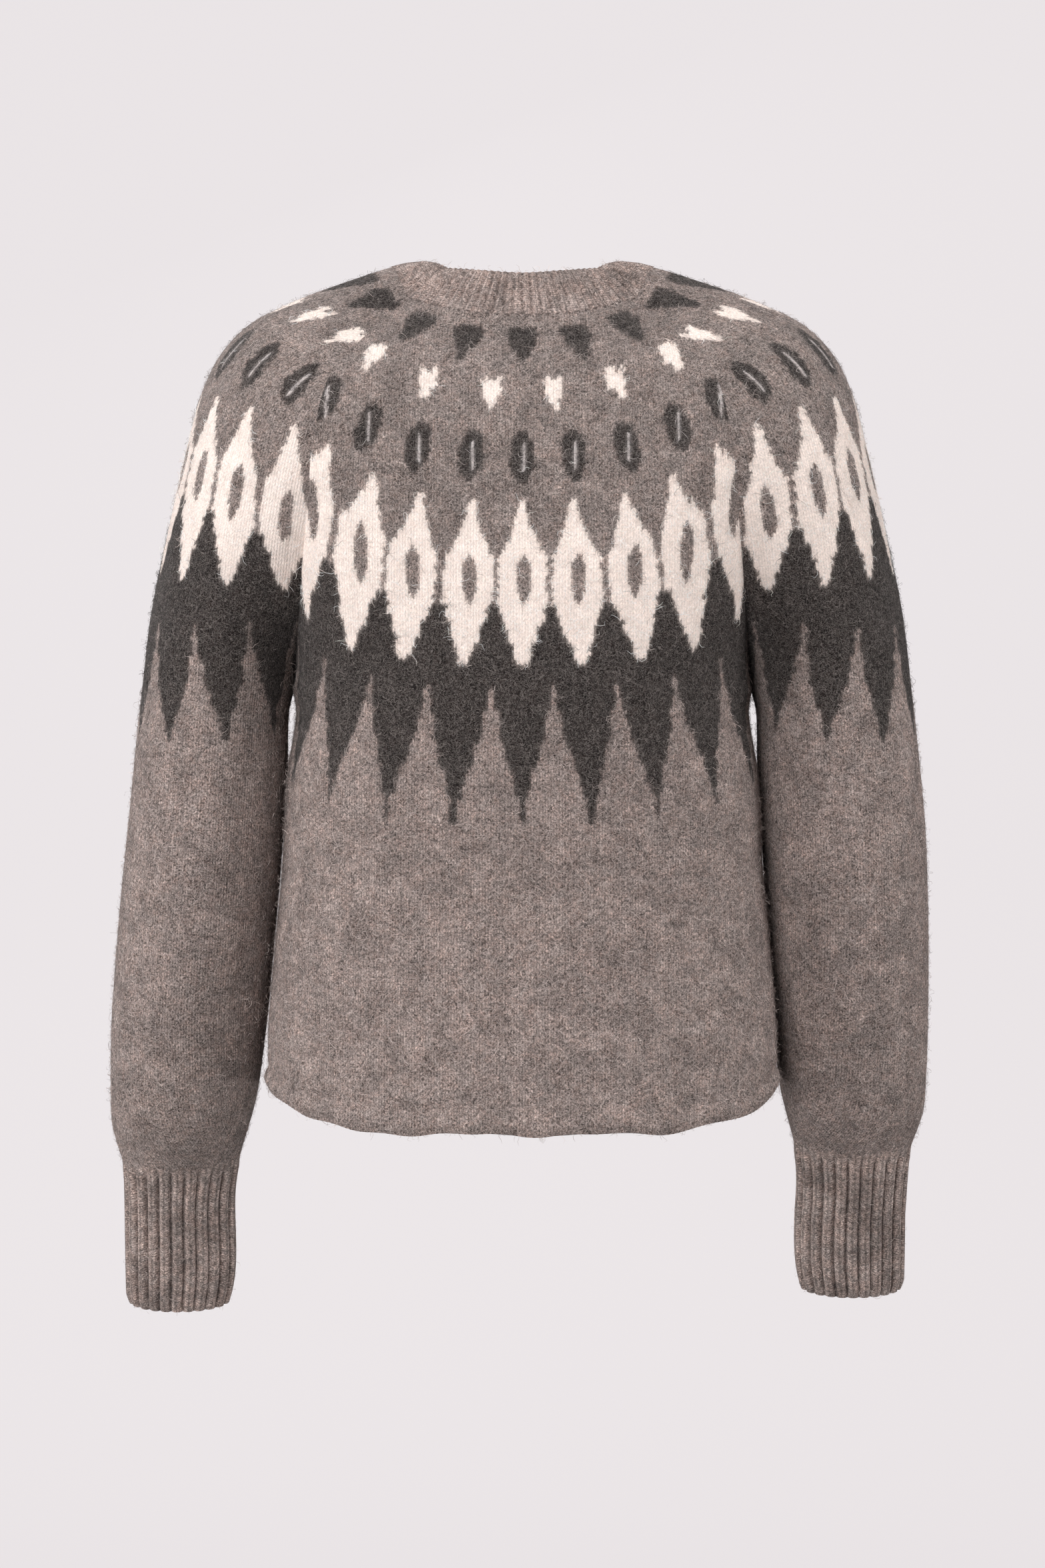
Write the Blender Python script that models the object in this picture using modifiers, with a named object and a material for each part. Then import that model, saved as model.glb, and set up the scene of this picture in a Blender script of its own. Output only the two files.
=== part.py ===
"""A closed, button-front cardigan of brushed wool, filled out as when worn, its sleeves hanging at its sides.

Metres, +Z up. The front faces -Y, the back faces +Y, and the wearer's left is +X. The origin lies on the
centre plane, level with the tops of the shoulders beside the neck, where a wearer carries the garment.

The torso is read by a row number r: -0.1 is the free edge of the neckband, 0 the neck seam, 1 the underarm
and 2 the hem. Each arm has its own row number t: -0.1 to 1 down the shoulder to the underarm, 2 the top of
the cuff and CUFF_END its lower edge.
"""

import math

import bmesh
import bpy
import numpy as np
from mathutils import Vector

# Cloth, seams and ribs
WALL = 0.0030
SEAM = 0.0003
NECK_RIBS = 86
NECK_RIB_RISE = 0.0009
CUFF_RIBS = 22
CUFF_RIB_RISE = 0.0011
BAND_RIBS = 4
BAND_RIB_RISE = 0.0008
HEM_ROLL = 0.0022
HEM_GROOVE = -0.0008

# Centre front closure
BAND_HALF = 0.0150
BUTTONS = 7
BUTTON_RADIUS = 0.0090
BUTTON_THICK = 0.0034
TOP_BUTTON_Z = -0.082
LOW_BUTTON_Z = -0.566

# Rows and columns of the solids
NECK_EDGE = -0.1
CUFF_END = 2.33
YOKE_ROWS = tuple(np.linspace(0.0, 1.0, 10))
BODY_ROWS = (1.05, 1.13, 1.26, 1.39, 1.52, 1.65, 1.78, 1.89, 1.950, 1.966, 1.983, 2.0)
ARM_ROWS = (1.05, 1.13, 1.26, 1.40, 1.54, 1.67, 1.78, 1.86, 1.92, 1.96, 2.0)
CUFF_ROWS = (2.0, 2.05, 2.31, CUFF_END)
NECKBAND_ROWS = (NECK_EDGE, -0.05, 0.0)
BAND_ROWS = NECKBAND_ROWS[:-1] + YOKE_ROWS + BODY_ROWS
BACK_COLUMNS = 18
FRONT_COLUMNS = 9
ARM_COLUMNS = 20

# Roundness of the torso's cross-section, 2 being an ellipse
TORSO_POWER = 2.4

# The arms don't hang quite alike: the right shoulder stands out further, its sleeve ends closer in and higher
SHOULDER_LEAN = 0.0030
RIGHT_PULL = 0.0080
RIGHT_LIFT = 0.0100


def table(names, *rows):
    """A short table whose columns have the given names, its first column being the row number."""
    return dict(zip(names.split(), np.array(rows, dtype=float).T))


# Centre back and centre front of the torso, the half angle that its rows turn through, and how late they climb
# from the centre to the raglan line or side seam
TORSO = table(
    "row back_y back_z front_y front_z turn climb",
    (-0.10, 0.0550, -0.0110, -0.0680, -0.0660, 42.0, 1.6),
    (0.00, 0.0660, -0.0416, -0.0830, -0.0950, 45.0, 2.2),
    (0.17, 0.0900, -0.0800, -0.0980, -0.1250, 52.0, 2.6),
    (0.33, 0.1040, -0.1215, -0.1070, -0.1580, 58.0, 2.6),
    (0.50, 0.1120, -0.1655, -0.1130, -0.1920, 64.0, 2.6),
    (0.67, 0.1165, -0.2100, -0.1170, -0.2280, 71.0, 2.6),
    (0.83, 0.1180, -0.2550, -0.1185, -0.2640, 79.0, 2.6),
    (1.00, 0.1170, -0.3000, -0.1175, -0.3000, 90.0, 2.6),
    (1.25, 0.1120, -0.3729, -0.1180, -0.3725, 90.0, 3.0),
    (1.45, 0.1080, -0.4312, -0.1140, -0.4305, 90.0, 4.0),
    (1.65, 0.1070, -0.4895, -0.1100, -0.4885, 90.0, 5.0),
    (1.85, 0.1090, -0.5479, -0.1100, -0.5465, 90.0, 6.0),
    (2.00, 0.1120, -0.5920, -0.1120, -0.5905, 90.0, 5.5),
)

# Side seam below the underarm
SIDE = table(
    "row x z",
    (1.00, 0.1590, -0.2940),
    (1.05, 0.1566, -0.3080),
    (1.12, 0.1586, -0.3260),
    (1.18, 0.1618, -0.3430),
    (1.45, 0.1664, -0.4170),
    (1.65, 0.1716, -0.4720),
    (1.85, 0.1758, -0.5270),
    (2.00, 0.1762, -0.5680),
)

# Midway between the raglan lines, or the inner line of the arm, with the arm's depth and how far its rows turn
ARM_INNER = table(
    "row x z skew_x skew_z y depth turn",
    (-0.10, 0.0540, -0.0090, -0.0030, 0.0060, 0.0030, 0.0470, 44.0),
    (0.00, 0.0805, -0.0300, -0.0036, 0.0056, 0.0010, 0.0504, 44.0),
    (0.17, 0.1080, -0.0600, -0.0003, 0.0040, 0.0060, 0.0660, 60.0),
    (0.33, 0.1300, -0.0920, 0.0000, 0.0063, 0.0100, 0.0780, 75.0),
    (0.50, 0.1405, -0.1350, -0.0005, 0.0060, 0.0100, 0.0860, 88.0),
    (0.67, 0.1470, -0.1920, -0.0010, 0.0030, 0.0080, 0.0800, 105.0),
    (0.83, 0.1530, -0.2450, -0.0010, 0.0020, 0.0040, 0.0680, 133.0),
    (1.00, 0.1590, -0.2940, 0.0000, 0.0000, 0.0000, 0.0600, 180.0),
    (1.05, 0.1622, -0.3080, 0.0000, 0.0000, 0.0000, 0.0595, 180.0),
    (1.10, 0.1630, -0.3250, 0.0000, -0.0005, -0.0005, 0.0590, 180.0),
    (1.18, 0.1633, -0.3520, 0.0000, -0.0010, -0.0020, 0.0580, 180.0),
    (1.34, 0.1673, -0.4050, 0.0000, -0.0030, -0.0050, 0.0570, 180.0),
    (1.54, 0.1732, -0.4700, 0.0000, -0.0060, -0.0120, 0.0550, 180.0),
    (1.74, 0.1803, -0.5350, 0.0000, -0.0080, -0.0230, 0.0520, 180.0),
    (1.89, 0.1885, -0.5850, 0.0000, -0.0080, -0.0320, 0.0460, 180.0),
    (1.96, 0.1948, -0.6060, 0.0000, -0.0070, -0.0360, 0.0370, 180.0),
    (2.00, 0.1992, -0.6205, 0.0000, -0.0060, -0.0400, 0.0280, 180.0),
    (2.05, 0.2024, -0.6360, 0.0000, -0.0060, -0.0435, 0.0245, 180.0),
    (2.31, 0.2076, -0.7205, 0.0000, -0.0055, -0.0650, 0.0215, 180.0),
    (2.33, 0.2092, -0.7270, 0.0000, -0.0055, -0.0665, 0.0200, 180.0),
)

# Outline of the shoulder and of the outer side of the arm, seen from behind
ARM_OUTER = table(
    "row x z",
    (-0.10, 0.0640, 0.0015),
    (0.00, 0.0910, -0.0012),
    (0.10, 0.1270, -0.0130),
    (0.20, 0.1622, -0.0270),
    (0.30, 0.1950, -0.0455),
    (0.37, 0.2125, -0.0648),
    (0.45, 0.2255, -0.0925),
    (0.55, 0.2350, -0.1290),
    (0.70, 0.2480, -0.1840),
    (0.85, 0.2600, -0.2400),
    (1.00, 0.2671, -0.2963),
    (1.18, 0.2732, -0.3520),
    (1.31, 0.2775, -0.3935),
    (1.56, 0.2845, -0.4770),
    (1.74, 0.2882, -0.5400),
    (1.89, 0.2890, -0.5900),
    (1.96, 0.2860, -0.6090),
    (2.00, 0.2824, -0.6225),
    (2.05, 0.2806, -0.6380),
    (2.31, 0.2815, -0.7205),
    (2.33, 0.2799, -0.7270),
)

# Half of a button's outline, from its centre out: the face is dished inside a round rim
BUTTON_PROFILE = table(
    "radius height",
    (0.00, 0.62),
    (0.62, 0.62),
    (0.74, 0.96),
    (0.90, 1.00),
    (1.00, 0.62),
    (0.92, 0.12),
    (0.80, 0.00),
    (0.00, 0.00),
)

WOOL = (0.270, 0.218, 0.203)
RIB_WOOL = (0.240, 0.192, 0.178)
HORN = (0.070, 0.050, 0.040)


def smooth(columns, name, rows):
    """Reads a column at any row number, along a smooth curve that doesn't overshoot the table."""
    knots = columns["row"]
    values = columns[name]
    gaps = np.diff(knots)
    slopes = np.diff(values) / gaps
    inner = (slopes[:-1] * gaps[1:] + slopes[1:] * gaps[:-1]) / (gaps[:-1] + gaps[1:])
    inner[slopes[:-1] * slopes[1:] <= 0.0] = 0.0
    tangents = np.concatenate(([slopes[0]], inner, [slopes[-1]]))
    rows = np.asarray(rows, dtype=float)
    i = np.clip(np.searchsorted(knots, rows) - 1, 0, len(gaps) - 1)
    s = np.clip((rows - knots[i]) / gaps[i], 0.0, 1.0)
    start = values[i] * (1 + 2 * s) * (1 - s) ** 2 + values[i + 1] * s * s * (3 - 2 * s)
    return start + gaps[i] * s * (1 - s) * (tangents[i] * (1 - s) - tangents[i + 1] * s)


def arm(rows, turn, side):
    """Points of the left (side 1) or right (side -1) arm. A turn of -1 is its back raglan, 1 its front one."""
    rows, turn = np.broadcast_arrays(np.asarray(rows, dtype=float), np.asarray(turn, dtype=float))
    reach = np.radians(smooth(ARM_INNER, "turn", rows))
    inner = np.stack([smooth(ARM_INNER, name, rows) for name in ("x", "y", "z")], axis=-1)
    outer = np.stack(
        [smooth(ARM_OUTER, "x", rows), smooth(ARM_INNER, "y", rows), smooth(ARM_OUTER, "z", rows)], axis=-1
    )
    outer[..., 0] -= side * SHOULDER_LEAN * np.interp(rows, (0.0, 0.35, 1.3, 1.7), (0.0, 1.0, 1.0, 0.0))
    across = (outer - inner) / (1 - np.cos(reach))[..., None]
    deep = np.stack([smooth(ARM_INNER, name, rows) for name in ("skew_x", "depth", "skew_z")], axis=-1)
    angle = (turn * reach)[..., None]
    points = outer + across * (np.cos(angle) - 1) - deep * np.sin(angle)
    if side < 0:
        low = np.clip((rows - 1.2) / 0.8, 0.0, None)
        points[..., 0] -= RIGHT_PULL * np.minimum(low, 1.2) ** 1.5
        points[..., 2] += RIGHT_LIFT * np.clip(rows - 1.0, 0.0, 1.0)
        points[..., 0] *= -1
    return points


def torso_edge(rows, face):
    """Edge of the left half of the back (face 1) or front (face -1): its raglan line, then its side seam."""
    raglan = arm(np.minimum(rows, 1.0), -face, 1)
    seam = np.stack([smooth(SIDE, "x", rows), 0.0 * rows, smooth(SIDE, "z", rows)], axis=-1)
    return np.where((rows <= 1.0)[..., None], raglan, seam)


def hem_swell(rows):
    """How far the narrow rolled hem stands out: a groove above a round edge."""
    return np.interp(rows, (1.935, 1.950, 1.966, 1.983, 2.0), (0.0, HEM_GROOVE, HEM_ROLL * 0.7, HEM_ROLL, 0.0))


def torso(rows, along, face):
    """Points of the back (face 1) or front (face -1). Along is 0 at the centre, 1 at the left edge, -1 right."""
    rows, along = np.broadcast_arrays(np.asarray(rows, dtype=float), np.asarray(along, dtype=float))
    side = "back" if face > 0 else "front"
    centre_y = smooth(TORSO, side + "_y", rows)
    centre_z = smooth(TORSO, side + "_z", rows)
    edge = torso_edge(rows, face)
    reach = np.radians(smooth(TORSO, "turn", rows))
    angle = np.abs(along) * reach
    power = 2.0 / TORSO_POWER
    out = (np.sin(angle) / np.sin(reach)) ** power
    end = np.maximum(np.cos(reach), 0.0) ** power
    deep = (np.maximum(np.cos(angle), 0.0) ** power - end) / (1 - end)
    swell = 1 + hem_swell(rows) / 0.14
    x = np.sign(along) * edge[..., 0] * out * swell
    y = (edge[..., 1] + (centre_y - edge[..., 1]) * deep) * swell
    z = centre_z + (edge[..., 2] - centre_z) * out ** smooth(TORSO, "climb", rows)
    return np.stack([x, y, z], axis=-1)


def along_at(rows, x, face):
    """Where on its row the torso lies x metres from the centre plane."""
    rows, x = np.broadcast_arrays(np.asarray(rows, dtype=float), np.asarray(x, dtype=float))
    edge = torso_edge(rows, face)[..., 0]
    reach = np.radians(smooth(TORSO, "turn", rows))
    swell = 1 + hem_swell(rows) / 0.14
    sine = np.sin(reach) * (np.abs(x) / (edge * swell)) ** (TORSO_POWER / 2.0)
    return np.sign(x) * np.arcsin(sine) / reach


def front_grid(rows, side):
    """A front panel from its raglan and side seam to the button band, columns running clockwise from above."""
    rows = np.asarray(rows)[:, None]
    band = np.abs(along_at(rows, BAND_HALF, -1))
    share = np.linspace(0.0, 1.0, FRONT_COLUMNS + 1)[None, :]
    if side > 0:
        return torso(rows, 1 + (band - 1) * share, -1)
    return torso(rows, -(band + (1 - band) * share), -1)


def unit(vectors):
    """Vectors of length 1."""
    length = np.linalg.norm(vectors, axis=-1, keepdims=True)
    return vectors / np.maximum(length, 1e-12)


def cell_normals(grid):
    """Area-weighted outward direction of each cell of a grid whose columns run clockwise seen from above."""
    falling = grid[1:, 1:] - grid[:-1, :-1]
    rising = grid[:-1, 1:] - grid[1:, :-1]
    return np.cross(rising, falling)


def spot(point):
    """A name for a place, the same for the points that meet there."""
    return tuple(int(round(value * 50000)) for value in point)


def shared_directions(grids):
    """Outward direction at every point of several grids, one and the same where they meet at a seam."""
    total = {}
    for grid in grids.values():
        normals = cell_normals(grid)
        for i, j in np.ndindex(normals.shape[:2]):
            for corner in (grid[i, j], grid[i, j + 1], grid[i + 1, j + 1], grid[i + 1, j]):
                total[spot(corner)] = total.get(spot(corner), np.zeros(3)) + normals[i, j]
    underarm = arm(1.0, 1.0, 1)
    for sign in (1, -1):
        total[spot(underarm * (sign, 1, 1))] = np.array((0.0, 0.0, -1.0))
    directions = {}
    for name, grid in grids.items():
        flat = [total[spot(point)] for point in grid.reshape(-1, 3)]
        directions[name] = unit(np.array(flat)).reshape(grid.shape)
    return directions


def draw_in(grid, first_column, last_column, first_row, last_row):
    """Moves chosen edges of a grid inwards, so that pieces lie a hair apart at their seams."""
    step = SEAM * 0.6
    grid = grid.copy()
    if first_column:
        grid[:, 0] += unit(grid[:, 1] - grid[:, 0]) * step
    if last_column:
        grid[:, -1] += unit(grid[:, -2] - grid[:, -1]) * step
    if first_row:
        grid[0] += unit(grid[1] - grid[0]) * step
    if last_row:
        grid[-1] += unit(grid[-2] - grid[-1]) * step
    return grid


def material(name, colour, roughness):
    """A plain Principled material."""
    made = bpy.data.materials.new(name)
    made.use_nodes = True
    shader = made.node_tree.nodes["Principled BSDF"]
    shader.inputs["Base Color"].default_value = (*colour, 1.0)
    shader.inputs["Roughness"].default_value = roughness
    shader.inputs["Metallic"].default_value = 0.0
    return made


def add_object(name, mesh, finish, collection):
    """Puts a mesh in the cardigan's collection."""
    made = bpy.data.objects.new(name, mesh)
    mesh.materials.append(finish)
    collection.objects.link(made)
    mesh.shade_smooth()
    mesh.set_sharp_from_angle(angle=math.radians(40.0))
    return made


def make_wall(name, outer, inner, finish, collection, join_from=None):
    """One closed wall between an outer and an inner grid of points.

    From row join_from down, the last column is the first one, which makes that stretch a tube.
    """
    rows, columns = outer.shape[:2]

    def key(i, j):
        joined = join_from is not None and i >= join_from and j == columns - 1
        return (i, 0) if joined else (i, j)

    build = bmesh.new()
    keys = sorted({key(i, j) for i in range(rows) for j in range(columns)})
    outside = {k: build.verts.new(outer[k]) for k in keys}
    inside = {k: build.verts.new(inner[k]) for k in keys}
    uses = {}
    for i in range(rows - 1):
        for j in range(columns - 1):
            ring = (key(i, j), key(i, j + 1), key(i + 1, j + 1), key(i + 1, j))
            build.faces.new([outside[k] for k in ring])
            build.faces.new([inside[k] for k in reversed(ring)])
            for a, b in zip(ring, ring[1:] + ring[:1]):
                uses.setdefault(frozenset((a, b)), []).append((a, b))
    for edges in uses.values():
        if len(edges) == 1:
            upper, lower = sorted(edges[0])
            build.faces.new((outside[upper], outside[lower], inside[lower]))
            build.faces.new((outside[upper], inside[lower], inside[upper]))
    bmesh.ops.recalc_face_normals(build, faces=build.faces)
    mesh = bpy.data.meshes.new(name)
    build.to_mesh(mesh)
    build.free()
    return add_object(name, mesh, finish, collection)


def body_panels():
    """Grids of the back, the fronts and the sleeves, meeting point for point at their seams.

    Each begins with one row of the neckband and each sleeve ends with one row of its cuff, so that the
    outward directions take in what lies beyond those seams too.
    """
    torso_rows = np.array(NECKBAND_ROWS[1:2] + YOKE_ROWS + BODY_ROWS)[:, None]
    arm_rows = np.array(NECKBAND_ROWS[1:2] + YOKE_ROWS + ARM_ROWS + CUFF_ROWS[1:2])[:, None]
    back_along = np.linspace(-1.0, 1.0, BACK_COLUMNS + 1)[None, :]
    turn = np.linspace(-1.0, 1.0, ARM_COLUMNS + 1)[None, :]
    return {
        "back": torso(torso_rows, back_along, 1),
        "front_left": front_grid(torso_rows[:, 0], 1),
        "front_right": front_grid(torso_rows[:, 0], -1),
        "sleeve_left": arm(arm_rows, turn, 1),
        "sleeve_right": arm(arm_rows, -turn, -1),
    }


def make_panels(finish, collection):
    """The five knitted panels."""
    grids = body_panels()
    directions = shared_directions(grids)
    underarm_row = len(YOKE_ROWS) - 1
    for name, grid in grids.items():
        sleeve = name.startswith("sleeve")
        kept = slice(1, -1 if sleeve else None)
        outer = grid[kept]
        inner = outer - directions[name][kept] * WALL
        walls = []
        for points in (outer, inner):
            moved = draw_in(points, True, True, True, sleeve)
            if sleeve:
                outward = 1 if name == "sleeve_left" else -1
                moved[underarm_row:, 0] = points[underarm_row:, 0]
                moved[-1, 0] = draw_in(points, False, False, False, True)[-1, 0]
                moved[underarm_row, 0] += np.array((outward * SEAM, 0.0, 0.0))
            walls.append(moved)
        make_wall(name, *walls, finish, collection, underarm_row if sleeve else None)


def even_columns(rings, count):
    """Points evenly along each ring, a list of polylines with the same number of points."""
    made = []
    for ring in rings:
        run = np.concatenate(([0.0], np.cumsum(np.linalg.norm(np.diff(ring, axis=0), axis=1))))
        places = np.linspace(0.0, run[-1], count)
        made.append(np.stack([np.interp(places, run, ring[:, axis]) for axis in range(3)], axis=-1))
    return np.array(made)


def neck_ring(row):
    """One row round the neck, clockwise from above, from the left button band back to the right one."""
    steps = 60
    band = float(np.abs(along_at(row, BAND_HALF + SEAM, -1)))
    share = np.linspace(0.0, 1.0, steps)
    parts = [
        torso(row, -(band + (1 - band) * share), -1),
        arm(row, 1 - 2 * share, -1),
        torso(row, 2 * share - 1, 1),
        arm(row, 2 * share - 1, 1),
        torso(row, 1 + (band - 1) * share, -1),
    ]
    return np.concatenate([part[:-1] for part in parts] + [parts[-1][-1:]])


def point_normals(grid, joined):
    """Outward direction at each point of one grid."""
    cells = cell_normals(grid)
    cells = np.concatenate([cells[:1], cells, cells[-1:]], axis=0)
    if joined:
        cells = np.concatenate([cells[:, -1:], cells, cells[:, :1]], axis=1)
    else:
        cells = np.concatenate([cells[:, :1], cells, cells[:, -1:]], axis=1)
    return unit(cells[:-1, :-1] + cells[1:, :-1] + cells[:-1, 1:] + cells[1:, 1:])


def make_neckband(finish, collection):
    """The ribbed neckband, its ribs raised on the outer points over a plain inside."""
    count = NECK_RIBS * 2 + 1
    grid = even_columns([neck_ring(row) for row in NECKBAND_ROWS + YOKE_ROWS[1:2]], count)
    out = point_normals(grid, False)[:-1]
    grid = grid[:-1]
    rise = np.where(np.arange(count) % 2 == 1, NECK_RIB_RISE, 0.0)[None, :, None]
    outer = draw_in(grid + out * rise, False, False, False, True)
    inner = draw_in(grid - out * WALL, False, False, False, True)
    make_wall("neckband", outer, inner, finish, collection)


def make_cuff(name, side, finish, collection):
    """A deep ribbed cuff: each rib has a flat crest two points wide and a groove beside it."""
    dense = np.linspace(-1.0, 1.0, 241)
    rings = [arm(row, dense if side > 0 else -dense, side) for row in ARM_ROWS[-2:-1] + CUFF_ROWS]
    count = CUFF_RIBS * 3
    grid = even_columns(rings, count + 1)
    out = point_normals(grid[:, :-1], True)
    out = np.concatenate([out, out[:, :1]], axis=1)[1:]
    grid = grid[1:]
    rise = np.where(np.arange(count + 1) % 3 == 2, -CUFF_RIB_RISE / 3, CUFF_RIB_RISE)[None, :, None]
    outer = draw_in(grid + out * rise, False, False, True, False)
    inner = draw_in(grid - out * WALL, False, False, True, False)
    make_wall(name, outer, inner, finish, collection, 0)


def band_grid(lift_right, lift_left, rise):
    """A front band from the neck edge to the hem, columns clockwise from above, lifted off the chest."""
    rows = np.array(BAND_ROWS)[:, None]
    columns = BAND_RIBS * 2 + 1
    inset = BAND_HALF - SEAM
    x = np.linspace(inset, -inset, columns)[None, :]
    grid = torso(rows, along_at(rows, x, -1), -1)
    out = point_normals(grid, False)
    share = ((x + inset) / (2 * inset))[..., None]
    lift = lift_right + (lift_left - lift_right) * share
    ribs = np.where(np.arange(columns) % 2 == 1, rise, 0.0)[None, :, None]
    return grid + out * (lift + ribs)


def make_bands(finish, collection):
    """The buttonhole band of the right front laps over the button band of the left front."""
    lap = WALL + SEAM + BAND_RIB_RISE
    over = (0.0, lap)
    under = (-lap, 0.0)
    for name, lifts in (("buttonhole_band", over), ("button_band", under)):
        outer = band_grid(*lifts, BAND_RIB_RISE)
        inner = band_grid(lifts[0] - WALL, lifts[1] - WALL, 0.0)
        make_wall(name, outer, inner, finish, collection)


def make_button_mesh():
    """A turned button that lies in its own XY plane with its face up."""
    profile = bpy.data.meshes.new("button_profile")
    points = [
        (radius * BUTTON_RADIUS, 0.0, height * BUTTON_THICK)
        for radius, height in zip(BUTTON_PROFILE["radius"], BUTTON_PROFILE["height"])
    ]
    profile.from_pydata(points, [(i, i + 1) for i in range(len(points) - 1)], [])
    return profile


def make_buttons(finish, collection):
    """The buttons, seated on the ribs of the buttonhole band, evenly down the centre front."""
    profile = make_button_mesh()
    ribs = band_grid(0.0, WALL + SEAM + BAND_RIB_RISE, BAND_RIB_RISE)
    crests = ribs[:, (BAND_RIBS - 1, BAND_RIBS + 1)]
    dense = np.linspace(NECK_EDGE, 2.0, 400)
    heights = np.linspace(TOP_BUTTON_Z, LOW_BUTTON_Z, BUTTONS)
    rows = np.interp(-heights, -smooth(TORSO, "front_z", dense), dense)
    for number, row in enumerate(rows, start=1):
        i = int(np.searchsorted(BAND_ROWS, row)) - 1
        share = (row - BAND_ROWS[i]) / (BAND_ROWS[i + 1] - BAND_ROWS[i])
        left, right = crests[i] * (1 - share) + crests[i + 1] * share
        out = unit(np.cross(crests[i + 1].mean(axis=0) - crests[i].mean(axis=0), left - right))
        if out[1] > 0:
            out = -out
        place = (left + right) / 2 + out * SEAM * 1.5
        button = bpy.data.objects.new(f"button_{number}", profile.copy())
        button.data.materials.append(finish)
        collection.objects.link(button)
        button.location = place
        button.rotation_mode = "QUATERNION"
        button.rotation_quaternion = Vector(out).to_track_quat("Z", "Y")
        turned = button.modifiers.new("Turned", "SCREW")
        turned.steps = 14
        turned.render_steps = 14
        turned.use_merge_vertices = True
        turned.merge_threshold = 0.00002
        turned.use_normal_calculate = True
    bpy.data.meshes.remove(profile)


def main():
    """Builds the whole cardigan."""
    for old in list(bpy.data.objects):
        bpy.data.objects.remove(old, do_unlink=True)
    collection = bpy.data.collections.new("cardigan")
    bpy.context.scene.collection.children.link(collection)
    wool = material("brushed_wool", WOOL, 0.95)
    rib = material("ribbed_wool", RIB_WOOL, 0.95)
    horn = material("dark_horn", HORN, 0.40)
    make_panels(wool, collection)
    make_neckband(rib, collection)
    make_cuff("cuff_left", 1, rib, collection)
    make_cuff("cuff_right", -1, rib, collection)
    make_bands(rib, collection)
    make_buttons(horn, collection)


main()
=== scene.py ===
"""The looks of a brushed wool cardigan with a patterned yoke, seen from behind.

Metres, +Z up. The back faces +Y and the wearer's left is +X. The knitted pieces lie on the same surfaces as
the solids, which are read by row: -0.1 is the free edge of the neckband, 0 the neck seam, 1 the underarm, 2
the hem of the torso or the top of a cuff, and CUFF_END the lower edge of a cuff.
"""

import math

import bpy
import numpy as np
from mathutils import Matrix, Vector

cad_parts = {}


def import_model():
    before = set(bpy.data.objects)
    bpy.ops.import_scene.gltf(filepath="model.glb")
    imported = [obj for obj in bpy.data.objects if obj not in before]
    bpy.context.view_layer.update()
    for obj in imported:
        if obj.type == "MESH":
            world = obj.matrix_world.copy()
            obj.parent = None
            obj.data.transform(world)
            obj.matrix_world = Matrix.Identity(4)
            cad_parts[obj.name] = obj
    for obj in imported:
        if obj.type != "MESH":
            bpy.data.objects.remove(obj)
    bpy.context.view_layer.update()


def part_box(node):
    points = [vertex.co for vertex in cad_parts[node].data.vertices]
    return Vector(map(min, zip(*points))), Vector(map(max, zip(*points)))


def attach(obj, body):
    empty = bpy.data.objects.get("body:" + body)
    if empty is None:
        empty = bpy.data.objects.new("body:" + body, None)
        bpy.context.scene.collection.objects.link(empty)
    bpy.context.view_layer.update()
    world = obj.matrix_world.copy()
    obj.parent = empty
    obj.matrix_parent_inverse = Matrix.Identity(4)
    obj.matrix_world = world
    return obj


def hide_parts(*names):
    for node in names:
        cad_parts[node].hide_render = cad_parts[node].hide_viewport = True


# Cloth, seams and ribs
WALL = 0.0030
SEAM = 0.0003
NECK_RIBS = 86
NECK_RIB_RISE = 0.0009
CUFF_RIBS = 22
CUFF_RIB_RISE = 0.0011
BAND_RIBS = 4
BAND_RIB_RISE = 0.0008
HEM_ROLL = 0.0022
HEM_GROOVE = -0.0008
HEM_ROWS = (1.935, 1.950, 1.966, 1.983, 2.0)
HEM_SHAPE = (0.0, HEM_GROOVE, HEM_ROLL * 0.7, HEM_ROLL, 0.0)

# Centre front closure
BAND_HALF = 0.0150
BUTTONS = 7
BUTTON_RADIUS = 0.0090
BUTTON_THICK = 0.0034
TOP_BUTTON_Z = -0.082
LOW_BUTTON_Z = -0.566

# Sewing holes of a button, drawn as dark discs of painted shade: how many, how far from its centre, and half
# of a hole's outline
SEWING_HOLES = 4
HOLE_REACH = 0.0019
HOLE_OUTLINE = ((0.0, 0.00006), (0.0007, 0.00006), (0.0008, 0.0), (0.0, -0.0002))

# Steps round a turned button and a turned hole
BUTTON_STEPS = 48
HOLE_STEPS = 16

NECK_EDGE = -0.1
CUFF_END = 2.33

# Roundness of the torso's cross-section, 2 being an ellipse, and its radius where the rolled hem swells it
TORSO_POWER = 2.4
SWELL_RADIUS = 0.14

# The arms don't hang alike: the right shoulder stands out further, and its sleeve ends closer in and higher
SHOULDER_LEAN = 0.0030
RIGHT_PULL = 0.0080
RIGHT_PULL_FROM = 1.2
RIGHT_PULL_ROWS = 0.8
RIGHT_LIFT = 0.0100


def table(names, *rows):
    """A short table whose columns have the given names, its first column being the row number."""
    return dict(zip(names.split(), np.array(rows, dtype=float).T))


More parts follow.
